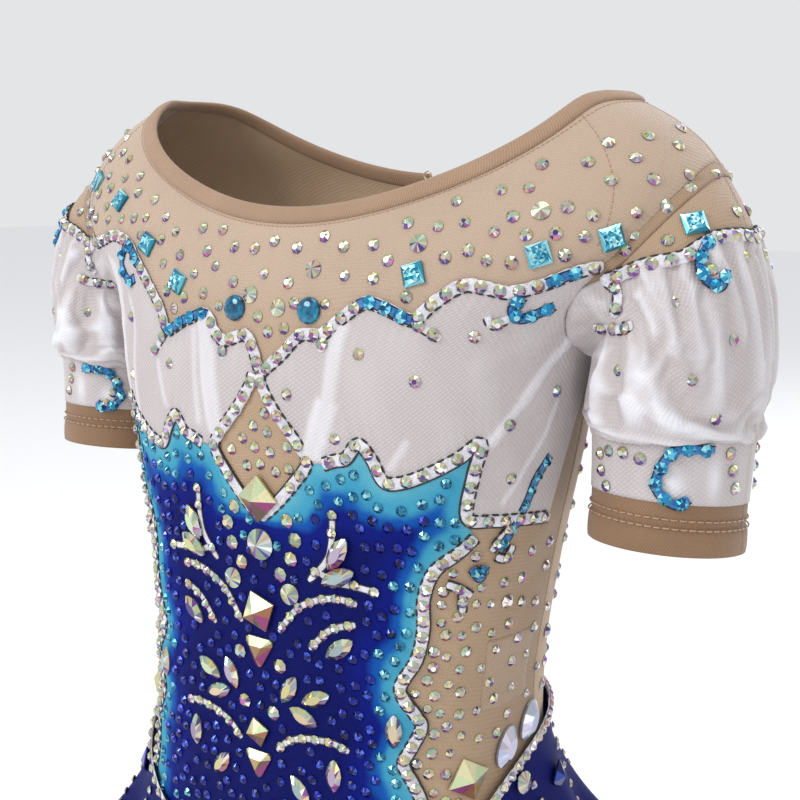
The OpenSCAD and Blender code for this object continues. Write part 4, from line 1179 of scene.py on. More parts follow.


# Facet colours of the stones. Beside the coatings' own colours they hold painted light: pale tones for facets turned
# up to the light, and dark and vivid tones for painted shade and coloured glints on facets turned down. In every list
# the palest and darkest entries stand for painted glints and painted shade on single facets.
AB_LIT_PALE = [rgb(206, 208, 150), rgb(180, 200, 166), rgb(226, 222, 196), rgb(196, 186, 130), rgb(160, 192, 174)]
AB_SIDE = [rgb(180, 164, 152), rgb(150, 168, 170), rgb(210, 188, 156), rgb(166, 150, 172), rgb(236, 236, 232)]
AB_SHADE_GLINTS = [rgb(116, 66, 136), rgb(76, 72, 140), rgb(190, 130, 110), rgb(140, 126, 150), rgb(130, 150, 124),
          rgb(176, 90, 160), rgb(84, 70, 130), rgb(186, 170, 168)]
AQUA_TONES = [rgb(40, 150, 196), rgb(20, 116, 166), rgb(96, 200, 226), rgb(4, 76, 122), rgb(160, 228, 240),
              rgb(24, 136, 184)]
ZIRCON = [rgb(44, 132, 164), rgb(20, 96, 134), rgb(100, 176, 190), rgb(8, 60, 96), rgb(140, 206, 210),
          rgb(34, 118, 156)]
GOLD_LIT_PALE = [rgb(206, 196, 120), rgb(190, 206, 160), rgb(222, 214, 170)]
GOLD_SIDE = [rgb(190, 160, 110), rgb(150, 120, 90), rgb(176, 170, 150)]
GOLD_SHADE_GLINTS = [rgb(150, 100, 70), rgb(140, 60, 110), rgb(104, 84, 70)]
DEEP = [rgb(12, 20, 112), rgb(6, 8, 66), rgb(26, 44, 160), rgb(3, 3, 34), rgb(16, 22, 124), rgb(60, 90, 206)]
SQUARE_TONES = [rgb(84, 178, 200), rgb(44, 150, 180), rgb(136, 212, 224), rgb(16, 106, 142), rgb(176, 232, 238),
                rgb(30, 132, 168)]
OPAL = [rgb(206, 206, 232), rgb(184, 196, 226), rgb(226, 220, 230), rgb(196, 214, 220), rgb(214, 200, 224)]


def facet_tints(verts, faces, family):
    """One colour for each facet: painted light, pale, on facets turned up, and painted shade with coloured glints on
    facets turned down, over the stones' own colours.
    """
    tints = []
    for f in faces:
        p = verts[list(f)]
        n = np.cross(p[1] - p[0], p[2] - p[0])
        n = n / max(np.linalg.norm(n), 1e-9)
        if family == "ab":
            if n[2] > 0.93:
                pool = AB_LIT_PALE if rng.random() < 0.6 else AB_SIDE
            else:
                pool = AB_LIT_PALE if n[1] > 0.25 else AB_SHADE_GLINTS if n[1] < -0.25 else AB_SIDE
            # about one facet in eight gets a painted glint from the dark, coloured list
            if rng.random() < 0.12:
                pool = AB_SHADE_GLINTS
        elif family == "gold":
            pool = GOLD_LIT_PALE if n[1] > 0.1 else GOLD_SHADE_GLINTS if n[1] < -0.1 else GOLD_SIDE
        else:
            pool = {"aqua": AQUA_TONES, "zircon": ZIRCON, "deep": DEEP, "square": SQUARE_TONES,
                    "opal": OPAL}[family]
        tone = np.array(pool[rng.integers(len(pool))])
        # painted light: facets turned up are made lighter, the others darker
        if family not in ("ab", "gold"):
            tone = tone * (1.15 if n[1] > 0.2 else 0.85)
        tints.append(np.clip(tone * rng.uniform(0.8, 1.1), 0, 1))
    return tints


def seat(points, normals, turn=0.0):
    """Axes of stones at points: right, up and out, turned about the normal."""
    up = unit(np.array([0, 0, 1.0]) - normals * normals[:, 2:3])
    right = np.cross(up, normals)
    r = np.radians(np.broadcast_to(turn, len(points)))[:, None]
    return right * np.cos(r) + up * np.sin(r), up * np.cos(r) - right * np.sin(r)


def set_stones(bundle, shape, points, normals, size, family, turn=None, squash=1.0):
    """Copies of a stone of a size (its diameter) at points, each with its own facet tints, which hold painted light,
    shade and glints.
    """
    verts, faces = shape
    if not len(points):
        return
    turns = rng.uniform(0, 45, len(points)) if turn is None else np.broadcast_to(turn, len(points))
    right, up = seat(points, normals, turns)
    sizes = np.broadcast_to(size, len(points))
    for p, n, r, u, d in zip(points, normals, right, up, sizes):
        axes = np.stack([r, u * squash, n]) * d / 2
        world = verts @ axes + p
        # the stone's points along x, up and its own height, so that facet_tints can paint light on facets turned up
        # and shade on those turned down
        shown = verts @ np.stack([r @ np.stack([RIGHT, UP, OUT]).T, u @ np.stack([RIGHT, UP, OUT]).T, (0, 0, 1)])
        bundle.add(world, faces, facet_tints(shown, faces, family))


RIGHT, UP, OUT = np.array([1.0, 0, 0]), np.array([0, 0, 1.0]), np.array([0, -1.0, 0])


def scatter(outline, gap, taken, at=on, tries=4000, off=0.45):
    """Evenly scattered places inside an outline, gap millimetres apart and clear of taken
    points. gap may be a function of the place."""
    ring = np.asarray(outline, float)
    low, high = ring.min(0), ring.max(0)
    trial = rng.uniform(low, high, (tries, 2))
    trial = trial[inside(trial, ring)]
    points = at(trial[:, 0], trial[:, 1], np.full(len(trial), off))
    kept, chosen = [np.asarray(p) for p in taken], []
    for place_, p in zip(trial, points):
        need = gap(*place_) if callable(gap) else gap
        if not kept or min(np.linalg.norm(np.array(kept) - p, axis=1)) > need:
            kept.append(p)
            chosen.append(place_)
    return np.array(chosen).reshape(-1, 2)


def spots(places, off, at=on, normal=skin_normal):
    places = np.asarray(places, float).reshape(-1, 2)
    return at(places[:, 0], places[:, 1], np.full(len(places), float(off))), normal(places[:, 0], places[:, 1])


SQUARES = [(24, -79.5), (42, -71), (54, -65), (-19, -88.5), (-25.6, -75), (-34.6, -58.5), (-49, -51)]
SQUARE_SIZE = 8.0


def build_stones():
    border, aqua, scroll, teal = Bundle(), Bundle(), Bundle(), Bundle()
    seated = []

    def claim(points, normals, turn, reach):
        """Keeps later stones clear of long or large ones, reach to each side."""
        for arm in seat(points, normals, turn):
            seated.extend(points + reach * arm)
            seated.extend(points - reach * arm)

    def along(bundle, line, pitch, size, family="ab", off=STRIP_TOP, keep=None):
        p = spaced(curve(line), pitch)
        if keep is not None:
            p = np.array([q for q in p if keep(q)]).reshape(-1, 2)
        points, normals = spots(p, off)
        seated.extend(points)
        set_stones(bundle, ROUND, points, normals, size, family)

    for line in (UPPER_EDGE, RIGHT_EDGE):
        along(border, line, 6.4, 4.7, keep=lambda q: not is_aqua(q))
        along(aqua, line, 6.4, 5.2, "aqua", off=STRIP_TOP + 0.3, keep=is_aqua)
    for line in (UPPER_TAIL, HOOK_TAIL, UPPER_SPUR, RIGHT_TAIL, RIGHT_SPUR):
        along(border, line, 5.6, 4.6)
    for line in (UPPER_HOOK, RIGHT_HOOK):
        along(aqua, line, 5.6, 5.2, "aqua", off=STRIP_TOP + 0.3)
    for line in both(LOWER_EDGE):
        along(border, line, 6.6, 4.7)
    for line in both([p for p in DIAMOND if p[1] > -170]):
        along(border, line, 6.6, 4.7, keep=lambda q: q[1] > -163)
    for line in both(SIDE_EDGE):
        along(border, line, 5.9, 4.7)
    for trim in SIDE_TRIM:
        for line in both(trim):
            along(border, line, 5.6, 4.3)
    for line in both(TEAL_EDGE) + both(TEAL_TAIL) + both(TEAL_HEART):
        along(aqua, line, 5.0, 4.4, "zircon", STRIP_TOP + 0.1)
    for places in both([(17, -169.5), (17, -176.5), (13.5, -193), (23, -195.5), (28, -197)]):
        points, normals = spots(places, STRIP_TOP - 0.2)
        set_stones(scroll, ROUND, points, normals, 4.3, "ab")
        seated.extend(points)
    for k, pitch in ((2, 5.6), (3, 4.8), (4, 5.2)):
        for line in both(BRANCHES[k]):
            along(scroll, line, pitch, 4.2, off=STRIP_TOP - 0.2)
    for branch in BRANCHES:
        for line in both(branch):
            seated.extend(spots(spaced(curve(line), 4), 1.1)[0])

    centre = Bundle()
    column = [(6.5, -175, 5.8), (8.5, -182, 6.2), (7.5, -190, 6.2), (5, -197, 6.0), (5.5, -234, 6), (4, -254, 6)]
    for a, z, d in column:
        points, normals = spots([(a, z), (-a, z + 1.5)], 1.15)
        set_stones(centre, ROUND, points, normals, d, "ab")
        seated.extend(points)
    place(centre.piece("centre_round_stones", False), CRYSTAL, "crystal_ab", "centre_rounds")

    rivoli = Bundle()
    for places, d in (([(0, -186.5)], 12.5), ([(7.5, -204), (-7.5, -203)], 8.4)):
        points, normals = spots(places, 1.15)
        set_stones(rivoli, RIVOLI, points, normals, d, "ab")
        seated.extend(points)
    place(rivoli.piece("rivoli_crystals", False), CRYSTAL, "crystal_ab", "rivoli_stones")

    pyramids = Bundle()
    for a, z, d, turn in ((0, -168, 19, 0), (0, -213.5, 17, 28), (0, -263.5, 12, 20), (60, -272, 18, 15),
                          (-60, -272, 18, -15)):
        points, normals = spots([(a, z)], 1.9 if abs(a) < 1 else 0.6)
        set_stones(pyramids, PYRAMID, points, normals, d, "gold", turn)
        claim(points, normals, turn, d / 3)
    place(pyramids.piece("pyramid_crystals", False), BROAD, "crystal_ab", "pyramid_stones")

    triangles = Bundle()
    for z, d in ((-229, 15), (-276, 14)):
        points, normals = spots([(0, z)], 1.15)
        set_stones(triangles, TRIANGLE, points, normals, d, "gold", 0)
        claim(points, normals, 0, d / 3)
    place(triangles.piece("triangle_crystals", False), BROAD, "crystal_ab", "triangle_stones")

    navettes = Bundle()
    for a, z, turn, d in ((18.7, -184, 60, 15), (19.2, -193.3, 26, 15), (20.5, -221.5, 38, 14),
                          (8, -242.5, 62, 13.5), (15, -243.5, 25, 13.5), (12, -252, -20, 13.5),
                          (20, -273, 90, 13.5), (11, -283, 128, 13.5), (36, -251, 90, 13.5)):
        points, normals = spots([(a, z), (-a, z)], 2.0 if z > -200 else 1.2)
        turns = np.array([turn, 180 - turn])
        set_stones(navettes, NAVETTE, points, normals, d, "ab", turns)
        seated.extend(points)
        ends = seat(points, normals, turns)[0] * d * 0.3
        seated.extend(np.vstack([points + ends, points - ends]))
    place(navettes.piece("navette_crystals", False), CRYSTAL, "crystal_ab", "navette_stones")

    squares = Bundle()
    for a, z in SQUARES:
        points, normals = spots([(a, z)], 0.5)
        set_stones(squares, SQUARE, points, normals, SQUARE_SIZE, "square", 18 if a > 0 else -24)
        seated.extend(points)

    points, normals = spots([(9, -94.5), (-5.6, -96)], 0.5)
    seated.extend(points)
    rise = np.linspace(0, 90, 9)
    rings = [(math.cos(math.radians(t)) ** 0.8, 0.06 + 0.42 * math.sin(math.radians(t)), 32, 0) for t in rise[:-1]]
    shape = solid_of([(1, 0, 32, 0)] + rings, 0.48)
    domes = Bundle()
    set_stones(domes, shape, points, normals, 10, "aqua", 0)
    place(domes.piece("teal_dome_stones"), DOME, "crystal_teal", "teal_domes")

    ovals = Bundle()
    for a, z, d in ((75, -264, 17), (86, -258, 17)):
        points, normals = spots([(a, z), (-a, z)], 1.2)
        set_stones(ovals, OVAL, points, normals, d, "opal", np.array([64, 116]), 0.55)
        seated.extend(points)
    points, normals = spots([(80, -281), (-80, -281)], 4.2)
    set_stones(ovals, RIVOLI, points, normals, 9, "ab")
    place(ovals.piece("hip_oval_stones", False), CRYSTAL, "crystal_ab", "skirt_ovals")

    panel = Bundle()
    outline = panel_outline()
    ring = flat(np.vstack([outline, outline[:1]]))
    chosen = scatter(outline, 5.5, seated, tries=9000)
    depth = to_outline(flat(chosen), ring)
    chosen, depth = chosen[depth > 4.5], depth[depth > 4.5]
    points, normals = spots(chosen, 1.1)
    light = depth + rng.uniform(-4, 4, len(depth)) < 15
    set_stones(panel, ROUND, points[light], normals[light], 4.2, "zircon")
    set_stones(panel, ROUND, points[~light], normals[~light], 4.2, "deep")
    place(panel.piece("panel_crystals", False), SAPPHIRE, "crystal_sapphire", "panel_rounds")

    small = Bundle()
    neck = [(a, front_neck(a) - 12) for a in range(-84, 85, 6)]
    lower_rim = [tuple(q) for q in curve(UPPER_EDGE, 3)]
    right = [tuple(q) for q in curve(RIGHT_EDGE, 3)] + [(-a, z) for a, z in (armhole(t) for t in (80, 65, 50, 35, 20))]
    region = np.array(neck + [tuple(armhole(t)) for t in (20, 35, 50, 65, 80)] + lower_rim[::-1] + right)
    near = flat(np.vstack([RIGHT_EDGE[::-1], UPPER_EDGE]))

    def yoke_gap(a, z):
        d = to_outline(flat([(a, z)]), near)[0]
        return 6.2 + 0.09 * d

    chosen = scatter(region, yoke_gap, seated, tries=7000)
    big = rng.random(len(chosen)) < 0.07
    points, normals = spots(chosen, 0.45)
    set_stones(small, ROUND, points[~big], normals[~big], rng.choice([4.8, 4.8, 4.2], (~big).sum()), "ab")
    set_stones(small, RIVOLI, points[big], normals[big], 6.6, "ab")

    gem = np.array(curve([(0, -131)] + [(p[0] - 1.5, p[1]) for p in DIAMOND[2:6]] + [(0, -163)], 2))
    gem = np.vstack([gem, (gem * (-1, 1))[::-1]])
    points, normals = spots(scatter(gem, 6.0, seated, tries=400), 0.45)
    set_stones(small, ROUND, points, normals, 4.6, "ab")

    for sign in (1, -1):
        side = np.vstack([[(56, -176), (86, -176)], [(96, -200), (100, -250)], [(84, -252), (70, -262), (56, -282)],
                          np.array(curve([p for p in SIDE_EDGE if p[1] > -285], 3))[::-1] + (2.6, 0)])
        chosen = scatter(side * (sign, 1), lambda a, z: 4.9 + 0.15 * max(abs(a) - 48, 0), seated, tries=6000)
        points, normals = spots(chosen, 0.45)
        sizes = np.where(rng.random(len(chosen)) < 0.08, 6.0, np.where(rng.random(len(chosen)) < 0.4, 3.8, 4.6))
        set_stones(small, ROUND, points, normals, sizes, "ab")
        pleats = side_of("left" if sign > 0 else "right")[2]
        bust = overlay_outline(side_of("left" if sign > 0 else "right")[1]) * (sign, 1)
        chosen = scatter(bust, 21, [], tries=900)
        depth = to_outline(flat(chosen), flat(np.vstack([bust, bust[:1]])))
        chosen = chosen[depth > 7]
        points, normals = spots(chosen, 1.4)
        points = points + normals * pleated(np.abs(chosen[:, 0]), chosen[:, 1], pleats)[0][:, None]
        set_stones(small, ROUND, points, normals, 4.6, "ab")
        back = np.array([(108, -60), (170, -70), (172, -230), (150, -248), (100, -244), (100, -120)])
        chosen = scatter(back * (sign, 1), lambda a, z: 10 + 0.3 * max(abs(a) - 104, 0), seated, tries=1500)
        points, normals = spots(chosen, 0.45)
        set_stones(small, ROUND, points, normals, 4.4, "ab")
    place(small.piece("scattered_crystals", False), CRYSTAL, "crystal_ab", "mesh_rounds")

    sleeve_ab = Bundle()
    band_front = [(124, 4.3), (108, 4.25), (99, 4.3), (84, 4.36)]
    band_out = [(34, 4.14), (26, 4.2), (22, 4.35), (24, 4.62), (13, 4.82)]
    band_in = [(128, 4.2), (127, 4.5), (123, 4.78), (114, 5.0)]
    for sign in (1, -1):
        mirror = np.array([sign, 1, 1])

        def sleeve_row(bundle, line, pitch, size, family, off, fine=8, skip=None):
            p = spaced(curve(line, fine), pitch, on_sleeve)
            if skip is not None:
                p = np.array([q for q in p if not skip(q)]).reshape(-1, 2)
            points, normals = spots(p, off, on_sleeve, sleeve_normal)
            set_stones(bundle, ROUND, points * mirror, normals * mirror, size, family)

        t = np.arange(-SHOULDER_BORDER, SHOULDER_BORDER + 1, 8.0)
        rim = [(x, float(scallop(x)) + 0.08) for x in t]
        sleeve_row(sleeve_ab, rim, 6.0, 4.7, "ab", 1.9, skip=lambda q: 33 < abs(q[0]) < 47)
        for way in (1, -1):
            top, low = swirls(sign, way)
            sleeve_row(aqua, top, 5.3, 5.0, "aqua", 2.1)
            sleeve_row(aqua, low, 5.6, 5.0, "aqua", 2.1)
            turn = lambda line: [(way * a, w) for a, w in line]
            for line in (SLEEVE_HOOK, SLEEVE_FOOT):
                sleeve_row(sleeve_ab, turn(line), 5.4, 4.6, "ab", 1.9)
            swing = low[0][0] - way * 41
            for line in (band_front, band_out, band_in):
                sleeve_row(sleeve_ab, [(a + (swing if line is not band_in else 0), w) for a, w in turn(line)],
                           6.0, 4.5, "ab", 1.2)
            places = turn([(66, 1.5), (33, 2.3), (60, 2.7), (42, 3.35), (111, 2.0), (42, 1.42), (16, 1.45)])
            normals = spots(places, 0, on_sleeve, sleeve_normal)[1]
            where, cloth = PUFFS[sign]
            wanted = (np.array(places) + [[-360 if a > 0 else 0, 0] for a, _ in places]) * SLEEVE_MM
            points = cloth[[np.linalg.norm(where - q, axis=1).argmin() for q in wanted]] + 0.2 * normals
            set_stones(sleeve_ab, ROUND, points * mirror, normals * mirror, 4.5, "ab")
        square_at, square_n = spots([(44, 0.74)], 0.5, on_sleeve, sleeve_normal)
        if sign > 0:
            set_stones(squares, SQUARE, square_at, square_n, SQUARE_SIZE, "square", 12)
        cap = [(-88, 0.12), (-60, 0.1), (0, 0.08), (60, 0.1), (88, 0.12), (74, 0.6), (50, 0.8), (0, 0.95),
               (-50, 0.8), (-74, 0.6)]
        chosen = scatter(cap, 10.5, [square_at[0]], on_sleeve, 900)
        points, normals = spots(chosen, 0.5, on_sleeve, sleeve_normal)
        set_stones(sleeve_ab, ROUND, points * mirror, normals * mirror, 4.6, "ab")
    place(sleeve_ab.piece("sleeve_crystals", False), CRYSTAL, "crystal_ab", "sleeve_rounds")
    place(squares.piece("aqua_square_stones", False), AQUA, "crystal_aqua", "aqua_squares")
    place(aqua.piece("aqua_crystals", False), AQUA, "crystal_aqua", "aqua_rounds")
    place(border.piece("border_crystals", False), CRYSTAL, "crystal_ab", "border_rounds")
    place(scroll.piece("scroll_crystals", False), CRYSTAL, "crystal_ab", "scroll_rounds")


# --- Sleeves ------------------------------------------------------------------------------

PUFF_COLS, PUFF_ROWS = 128, 46
SLEEVE_MM = (0.52, 18)    # millimetres to a degree round the sleeve and to a ring down it
PUFFS = {}                # each puff's places and points, for the stones sewn on it


def smooth_noise(t, seed, waves):
    """Sum of a few random waves round a full turn, about -1 to 1."""
    r = np.random.default_rng(seed)
    total = 0
    for k in waves:
        total = total + r.uniform(0.4, 1) * np.cos(np.radians(k * t) + r.uniform(0, 2 * np.pi))
    return total / len(waves)


# Folds of the puff, by degrees from the top and rings down: from, to, half width, height
PUFF_FOLDS = [(132, 1.9, 104, 2.7, 3.6, 2.0), (106, 2.6, 82, 3.1, 3.8, 2.4), (84, 3.05, 64, 3.42, 3.6, 2.2),
              (66, 3.4, 30, 3.86, 3.2, 1.6), (99, 2.35, 81, 2.45, 2.4, 1.0), (82, 2.45, 70, 2.0, 2.4, 0.9),
              (90, 1.0, 81, 1.75, 1.8, 1.2), (57, 1.25, 55, 2.4, 2.0, 1.3), (36, 1.25, 28, 2.3, 2.0, 1.3),
              (72, 1.2, 70, 2.2, 1.6, 0.9), (46, 1.7, 42, 2.9, 2.4, 0.9), (120, 3.5, 62, 3.9, 1.6, 1.2),
              (22, 1.3, 14, 2.8, 2.2, 1.2), (4, 1.3, 0, 2.9, 2.4, 1.1), (12, 3.2, 34, 3.95, 1.8, 1.0),
              (147, 1.2, 120, 1.62, 2.4, 1.8), (122, 1.6, 100, 1.5, 2.0, 1.2), (150, 2.6, 120, 3.2, 2.4, 1.2)]


def puff_form(seed):
    """Gathered puff between the cap and the band, before the cloth settles."""
    t = -np.arange(PUFF_COLS) * 360 / PUFF_COLS
    v = np.linspace(0, 1, PUFF_ROWS)[:, None]
    start = scallop((t + 180) % 360 - 180)
    w = start + (4.02 - start) * v
    tt = np.broadcast_to(t, w.shape)
    folded = (tt + 180) % 360 - 180
    lift = np.zeros(w.shape)
    for way in (1, -1):
        for t0, w0, t1, w1, half, high in PUFF_FOLDS:
            d = np.array([(t1 - t0) * SLEEVE_MM[0], (w1 - w0) * SLEEVE_MM[1]])
            x, y = (way * folded - t0) * SLEEVE_MM[0], (w - w0) * SLEEVE_MM[1]
            u = (x * d[0] + y * d[1]) / (d @ d)
            off = np.hypot(x - u * d[0], y - u * d[1])
            ends = np.clip(np.minimum(u + 0.2, 1.2 - u) * 4, 0, 1)
            lift = np.maximum(lift, high * ends * np.exp(-(off / half) ** 2))
    top = smooth_noise(t, seed, range(14, 30)) * np.exp(-v / 0.14)
    low = smooth_noise(t, seed + 1, range(12, 26)) * np.exp(-(1 - v) / 0.10)
    belly = 1.3 * np.sin(np.pi * v ** 0.9) ** 0.8
    places = np.stack([np.abs(folded).ravel(), w.ravel()], -1) * SLEEVE_MM
    tacks = [np.array(curve(line)) * SLEEVE_MM for line in (SLEEVE_HOOK, SLEEVE_FOOT)]
    held = np.minimum(*(to_outline(places, line) for line in tacks)).reshape(w.shape)
    free = np.clip((held - 1.5) / 6, 0, 1)
    shape = 0.75 + free * (belly + lift + 1.3 * top + 1.0 * low)
    return on_sleeve(tt, w, np.maximum(shape, 0.3)), tt, w, lift, held < 2


def settle(points, tacked):
    """Lets the gathered sleeve hang as cloth between its two sewn rings and its tacked places."""
    rows, cols = points.shape[:2]
    obj = make("settling", points.reshape(-1, 3), grid_faces(rows, cols, True))
    pins = obj.vertex_groups.new(name="pins")
    tacked = tacked.copy()
    tacked[[0, -1]] = True
    pins.add(np.flatnonzero(tacked).tolist(), 1.0, "REPLACE")
    arm_t = -np.arange(48) * 7.5
    arm = make("arm", np.vstack([on_sleeve(arm_t, np.full(48, w), np.full(48, -2.0)) for w in np.linspace(0.5, 4.4, 18)]),
               grid_faces(18, 48, True))
    arm.modifiers.new("hit", "COLLISION")
    arm.collision.thickness_outer = 0.0008
    cloth = obj.modifiers.new("cloth", "CLOTH")
    c = cloth.settings
    c.quality = 6
    c.mass = 0.05
    c.tension_stiffness = c.compression_stiffness = 8
    c.shear_stiffness = 4
    c.bending_stiffness = 0.06
    c.air_damping = 2
    c.vertex_group_mass = "pins"
    c.shrink_min = -0.07
    c.effector_weights.gravity = 0.6
    cloth.collision_settings.distance_min = 0.0008
    cloth.collision_settings.use_self_collision = False
    scene = bpy.context.scene
    for f in range(1, 25):
        scene.frame_set(f)
    done = obj.evaluated_get(bpy.context.evaluated_depsgraph_get())
    co = np.zeros(rows * cols * 3, np.float32)
    done.data.vertices.foreach_get("co", co)
    scene.frame_set(1)
    moved = co.reshape(points.shape) / MM
    for o in (obj, arm):
        bpy.data.objects.remove(o)
    shift = moved - points
    reach = np.linalg.norm(shift, axis=-1, keepdims=True)
    return points + shift * np.minimum(1, 3.5 / np.maximum(reach, 1e-6))


def build_sleeves():
    for name, sign, seed in (("left", 1, 3), ("right", -1, 8)):
        mirror = np.array([sign, 1, 1])
        turn = (lambda g: g[:, ::-1]) if sign < 0 else (lambda g: g)

        t = -np.arange(96) * 3.75
        folded = (t + 180) % 360 - 180
        v = np.linspace(0, 1, 14)[:, None]
        cap = on_sleeve(np.broadcast_to(t, (14, 96)), scallop(folded) * v, 0.0)
        piece = grid_piece(f"{name}_cap_mesh", turn(cap * mirror), True)
        thicken(piece, 0.4)
        place(piece, CAP, "nude_mesh", f"{name}_shoulder_cap")

        w = 0.34 * np.linspace(0, 1, 6)[:, None]
        band = on_sleeve(np.broadcast_to(t, (6, 96)), np.broadcast_to(w, (6, 96)), 0.5)
        piece = grid_piece(f"{name}_seam_band", turn(band * mirror), True)
        thicken(piece, 0.3)
        place(piece, NUDE_DOUBLE, "nude_trim", f"{name}_armhole_band")

        points, tt, ww, folds, tacked = puff_form(seed)
        base = on_sleeve(tt, ww, 0.0)
        points = settle(points, tacked)
        PUFFS[sign] = np.stack([tt.ravel(), ww.ravel()], -1) * SLEEVE_MM, points.reshape(-1, 3)
        rise = np.linalg.norm(points - base, axis=-1)
        local = rise - 0.5 * (np.roll(rise, 5, 1) + np.roll(rise, -5, 1))
        shown = np.clip(0.05 + 0.26 * local + 0.24 * folds + 0.06 * (rise - 2), 0, 1)
        piece = grid_piece(f"{name}_puff_mesh", turn(points * mirror), True, attrs=[("fold", turn(shown))])
        thicken(piece, 0.3)
        piece.modifiers.new("smooth", "SUBSURF").levels = 1
        piece.modifiers["smooth"].render_levels = 1
        place(piece, WHITE, "white_mesh", f"{name}_puff_sleeve")

        w = np.linspace(3.96, 5.02, 16)[:, None]
        crease = 0.5 + 0.35 * smooth_noise(t, seed + 5, range(9, 20)) * np.sin(np.pi * np.linspace(0, 1, 16))[:, None]
        band = on_sleeve(np.broadcast_to(t, (16, 96)), np.broadcast_to(w, (16, 96)), crease)
        side, rung = np.abs(folded) - (54 if sign < 0 else 0) * (folded > 0), w
        flaps = np.exp(-((side - 66) / 7) ** 2 - ((rung - 4.72) / 0.2) ** 2) \
            + 0.9 * np.exp(-((side - 38) / 5) ** 2 - ((rung - 4.6) / 0.3) ** 2)
        piece = grid_piece(f"{name}_band_mesh", turn(band * mirror), True,
                           attrs=[("fold", turn(np.clip(crease - 0.45 + flaps, 0, 1)))])
        thicken(piece, 0.4)
        place(piece, WHITE, "white_mesh", f"{name}_sleeve_band")

        v = np.linspace(0, 1, 22)
        w = 4.95 + 1.03 * v
        hem = 0.5 + 0.5 * np.clip((v - 0.42) / 0.12, 0, 1) - 0.5 * np.exp(-((v - 0.42) / 0.03) ** 2) \
            + 0.25 * np.sin(np.pi * np.clip((v - 0.45) / 0.55, 0, 1))
        cuff = on_sleeve(np.broadcast_to(t, (22, 96)), np.broadcast_to(w[:, None], (22, 96)),
                         np.broadcast_to(hem[:, None], (22, 96)) + 0.12 * smooth_noise(t, seed + 9, range(8, 16)))
        inner = on_sleeve(t, np.full(96, 5.7), -0.5)
        cuff = np.concatenate([cuff, on_sleeve(t, np.full(96, 6.0), 0.0)[None], on_sleeve(t, np.full(96, 5.98), -0.4)[None],
                               inner[None], on_sleeve(t, np.full(96, 5.2), -0.5)[None]])
        piece = grid_piece(f"{name}_cuff_knit", turn(cuff * mirror), True)
        place(piece, CUFF, "nude_trim", f"{name}_cuff")

        seams = Bundle()
        for row, off in ((5.28, 0.95), (5.42, 1.35)):
            s = np.linspace(0, 360, 240)
            dashes(seams, on_sleeve(s, np.full(240, row), off) * mirror,
                   sleeve_normal(s, np.full(240, row)) * mirror, 0.28, 2.3, 0.8)
        piece = seams.piece(f"{name}_cuff_stitches")
        place(piece, STITCH, "nude_trim")


# --- Skirt, label, seams and zipper ----------------------------------------------------------


def skirt_point(a, r):
    """Point of the skirt at an angle, r from 0 at its top edge to 1 at the hem."""
    flutes = (0.34 * np.cos(np.radians(11 * a + 8)) + 0.2 * np.cos(np.radians(17 * a + 50))) * r ** 1.2
    flare = 2.2 + 20 * r ** 1.9 * (1 + flutes)
    z = skirt_top(a) - 72 * r
    way = np.stack([np.sin(np.radians(a)), -np.cos(np.radians(a)), np.zeros_like(a)], -1)
    return skin(a, z) + flare[..., None] * way


def build_skirt():
    cols, rows = 288, 34
    a, r = np.meshgrid(np.arange(cols) * 360 / cols, np.linspace(0, 1, rows))
    piece = grid_piece("skirt_cloth", skirt_point(a, r), True)
    thicken(piece, 0.5)
    place(piece, NAVY, "navy_fabric", "skirt")
    trim, stones = Bundle(), Bundle()
    a = np.arange(0, 361, 1.25)
    for r, width in ((0.0, 4.6), (0.985, 3.6)):
        p = skirt_point(a, np.full_like(a, r))
        n = unit(np.stack([np.sin(np.radians(a)), -np.cos(np.radians(a)), a * 0], -1))
        ribbon(trim, p + n * 1.0, n, width)
    piece = trim.piece("skirt_strips")
    place(piece, STRIP, "white_trim")
    a = np.arange(0, 360, 3.6)
    for r, size in ((0.0, 4.6), (0.985, 3.8)):
        p = skirt_point(a, np.full_like(a, r))
        n = unit(np.stack([np.sin(np.radians(a)), -np.cos(np.radians(a)), a * 0], -1))
        set_stones(stones, ROUND, p + n * 1.4, n, size, "ab")
    for mid in range(20, 360, 40):
        u = np.linspace(0, 1, 9)
        for way in (1, -1):
            aa = mid + way * (2 + 13 * u ** 0.8)
            rr = 0.82 - 0.62 * u + 0.10 * np.sin(np.pi * u)
            p = skirt_point(aa, rr)
            n = unit(np.stack([np.sin(np.radians(aa)), -np.cos(np.radians(aa)), aa * 0], -1))
            set_stones(stones, ROUND, p + n * 0.7, n, 4.0, "ab")
        p = skirt_point(np.array([float(mid)]), np.array([0.34]))
        n = np.array([[math.sin(math.radians(mid)), -math.cos(math.radians(mid)), 0]])
        set_stones(stones, PYRAMID, p + n * 0.7, n, 14, "deep", 0)
    place(stones.piece("skirt_crystals", False), CRYSTAL, "crystal_ab")


def build_label():
    a, z = np.meshgrid(np.linspace(64, 85, 16), np.linspace(-217, -246, 16))
    piece = grid_piece("care_label_ribbon", skin(a, z) - 1.3 * skin_normal(a, z))
    thicken(piece, 0.25)
    place(piece, LABEL, "label_satin", "care_label")
    # the patch carries the painted side shade (deep) of the mesh around it, darker towards the side
    ghost = grid_piece("label_shadow", on(a, z, 0.42), attrs=[("deep", 0.6 * np.clip((a - 52) / 40, 0, 1))])
    thicken(ghost, 0.05)
    place(ghost, GHOST, "nude_mesh")


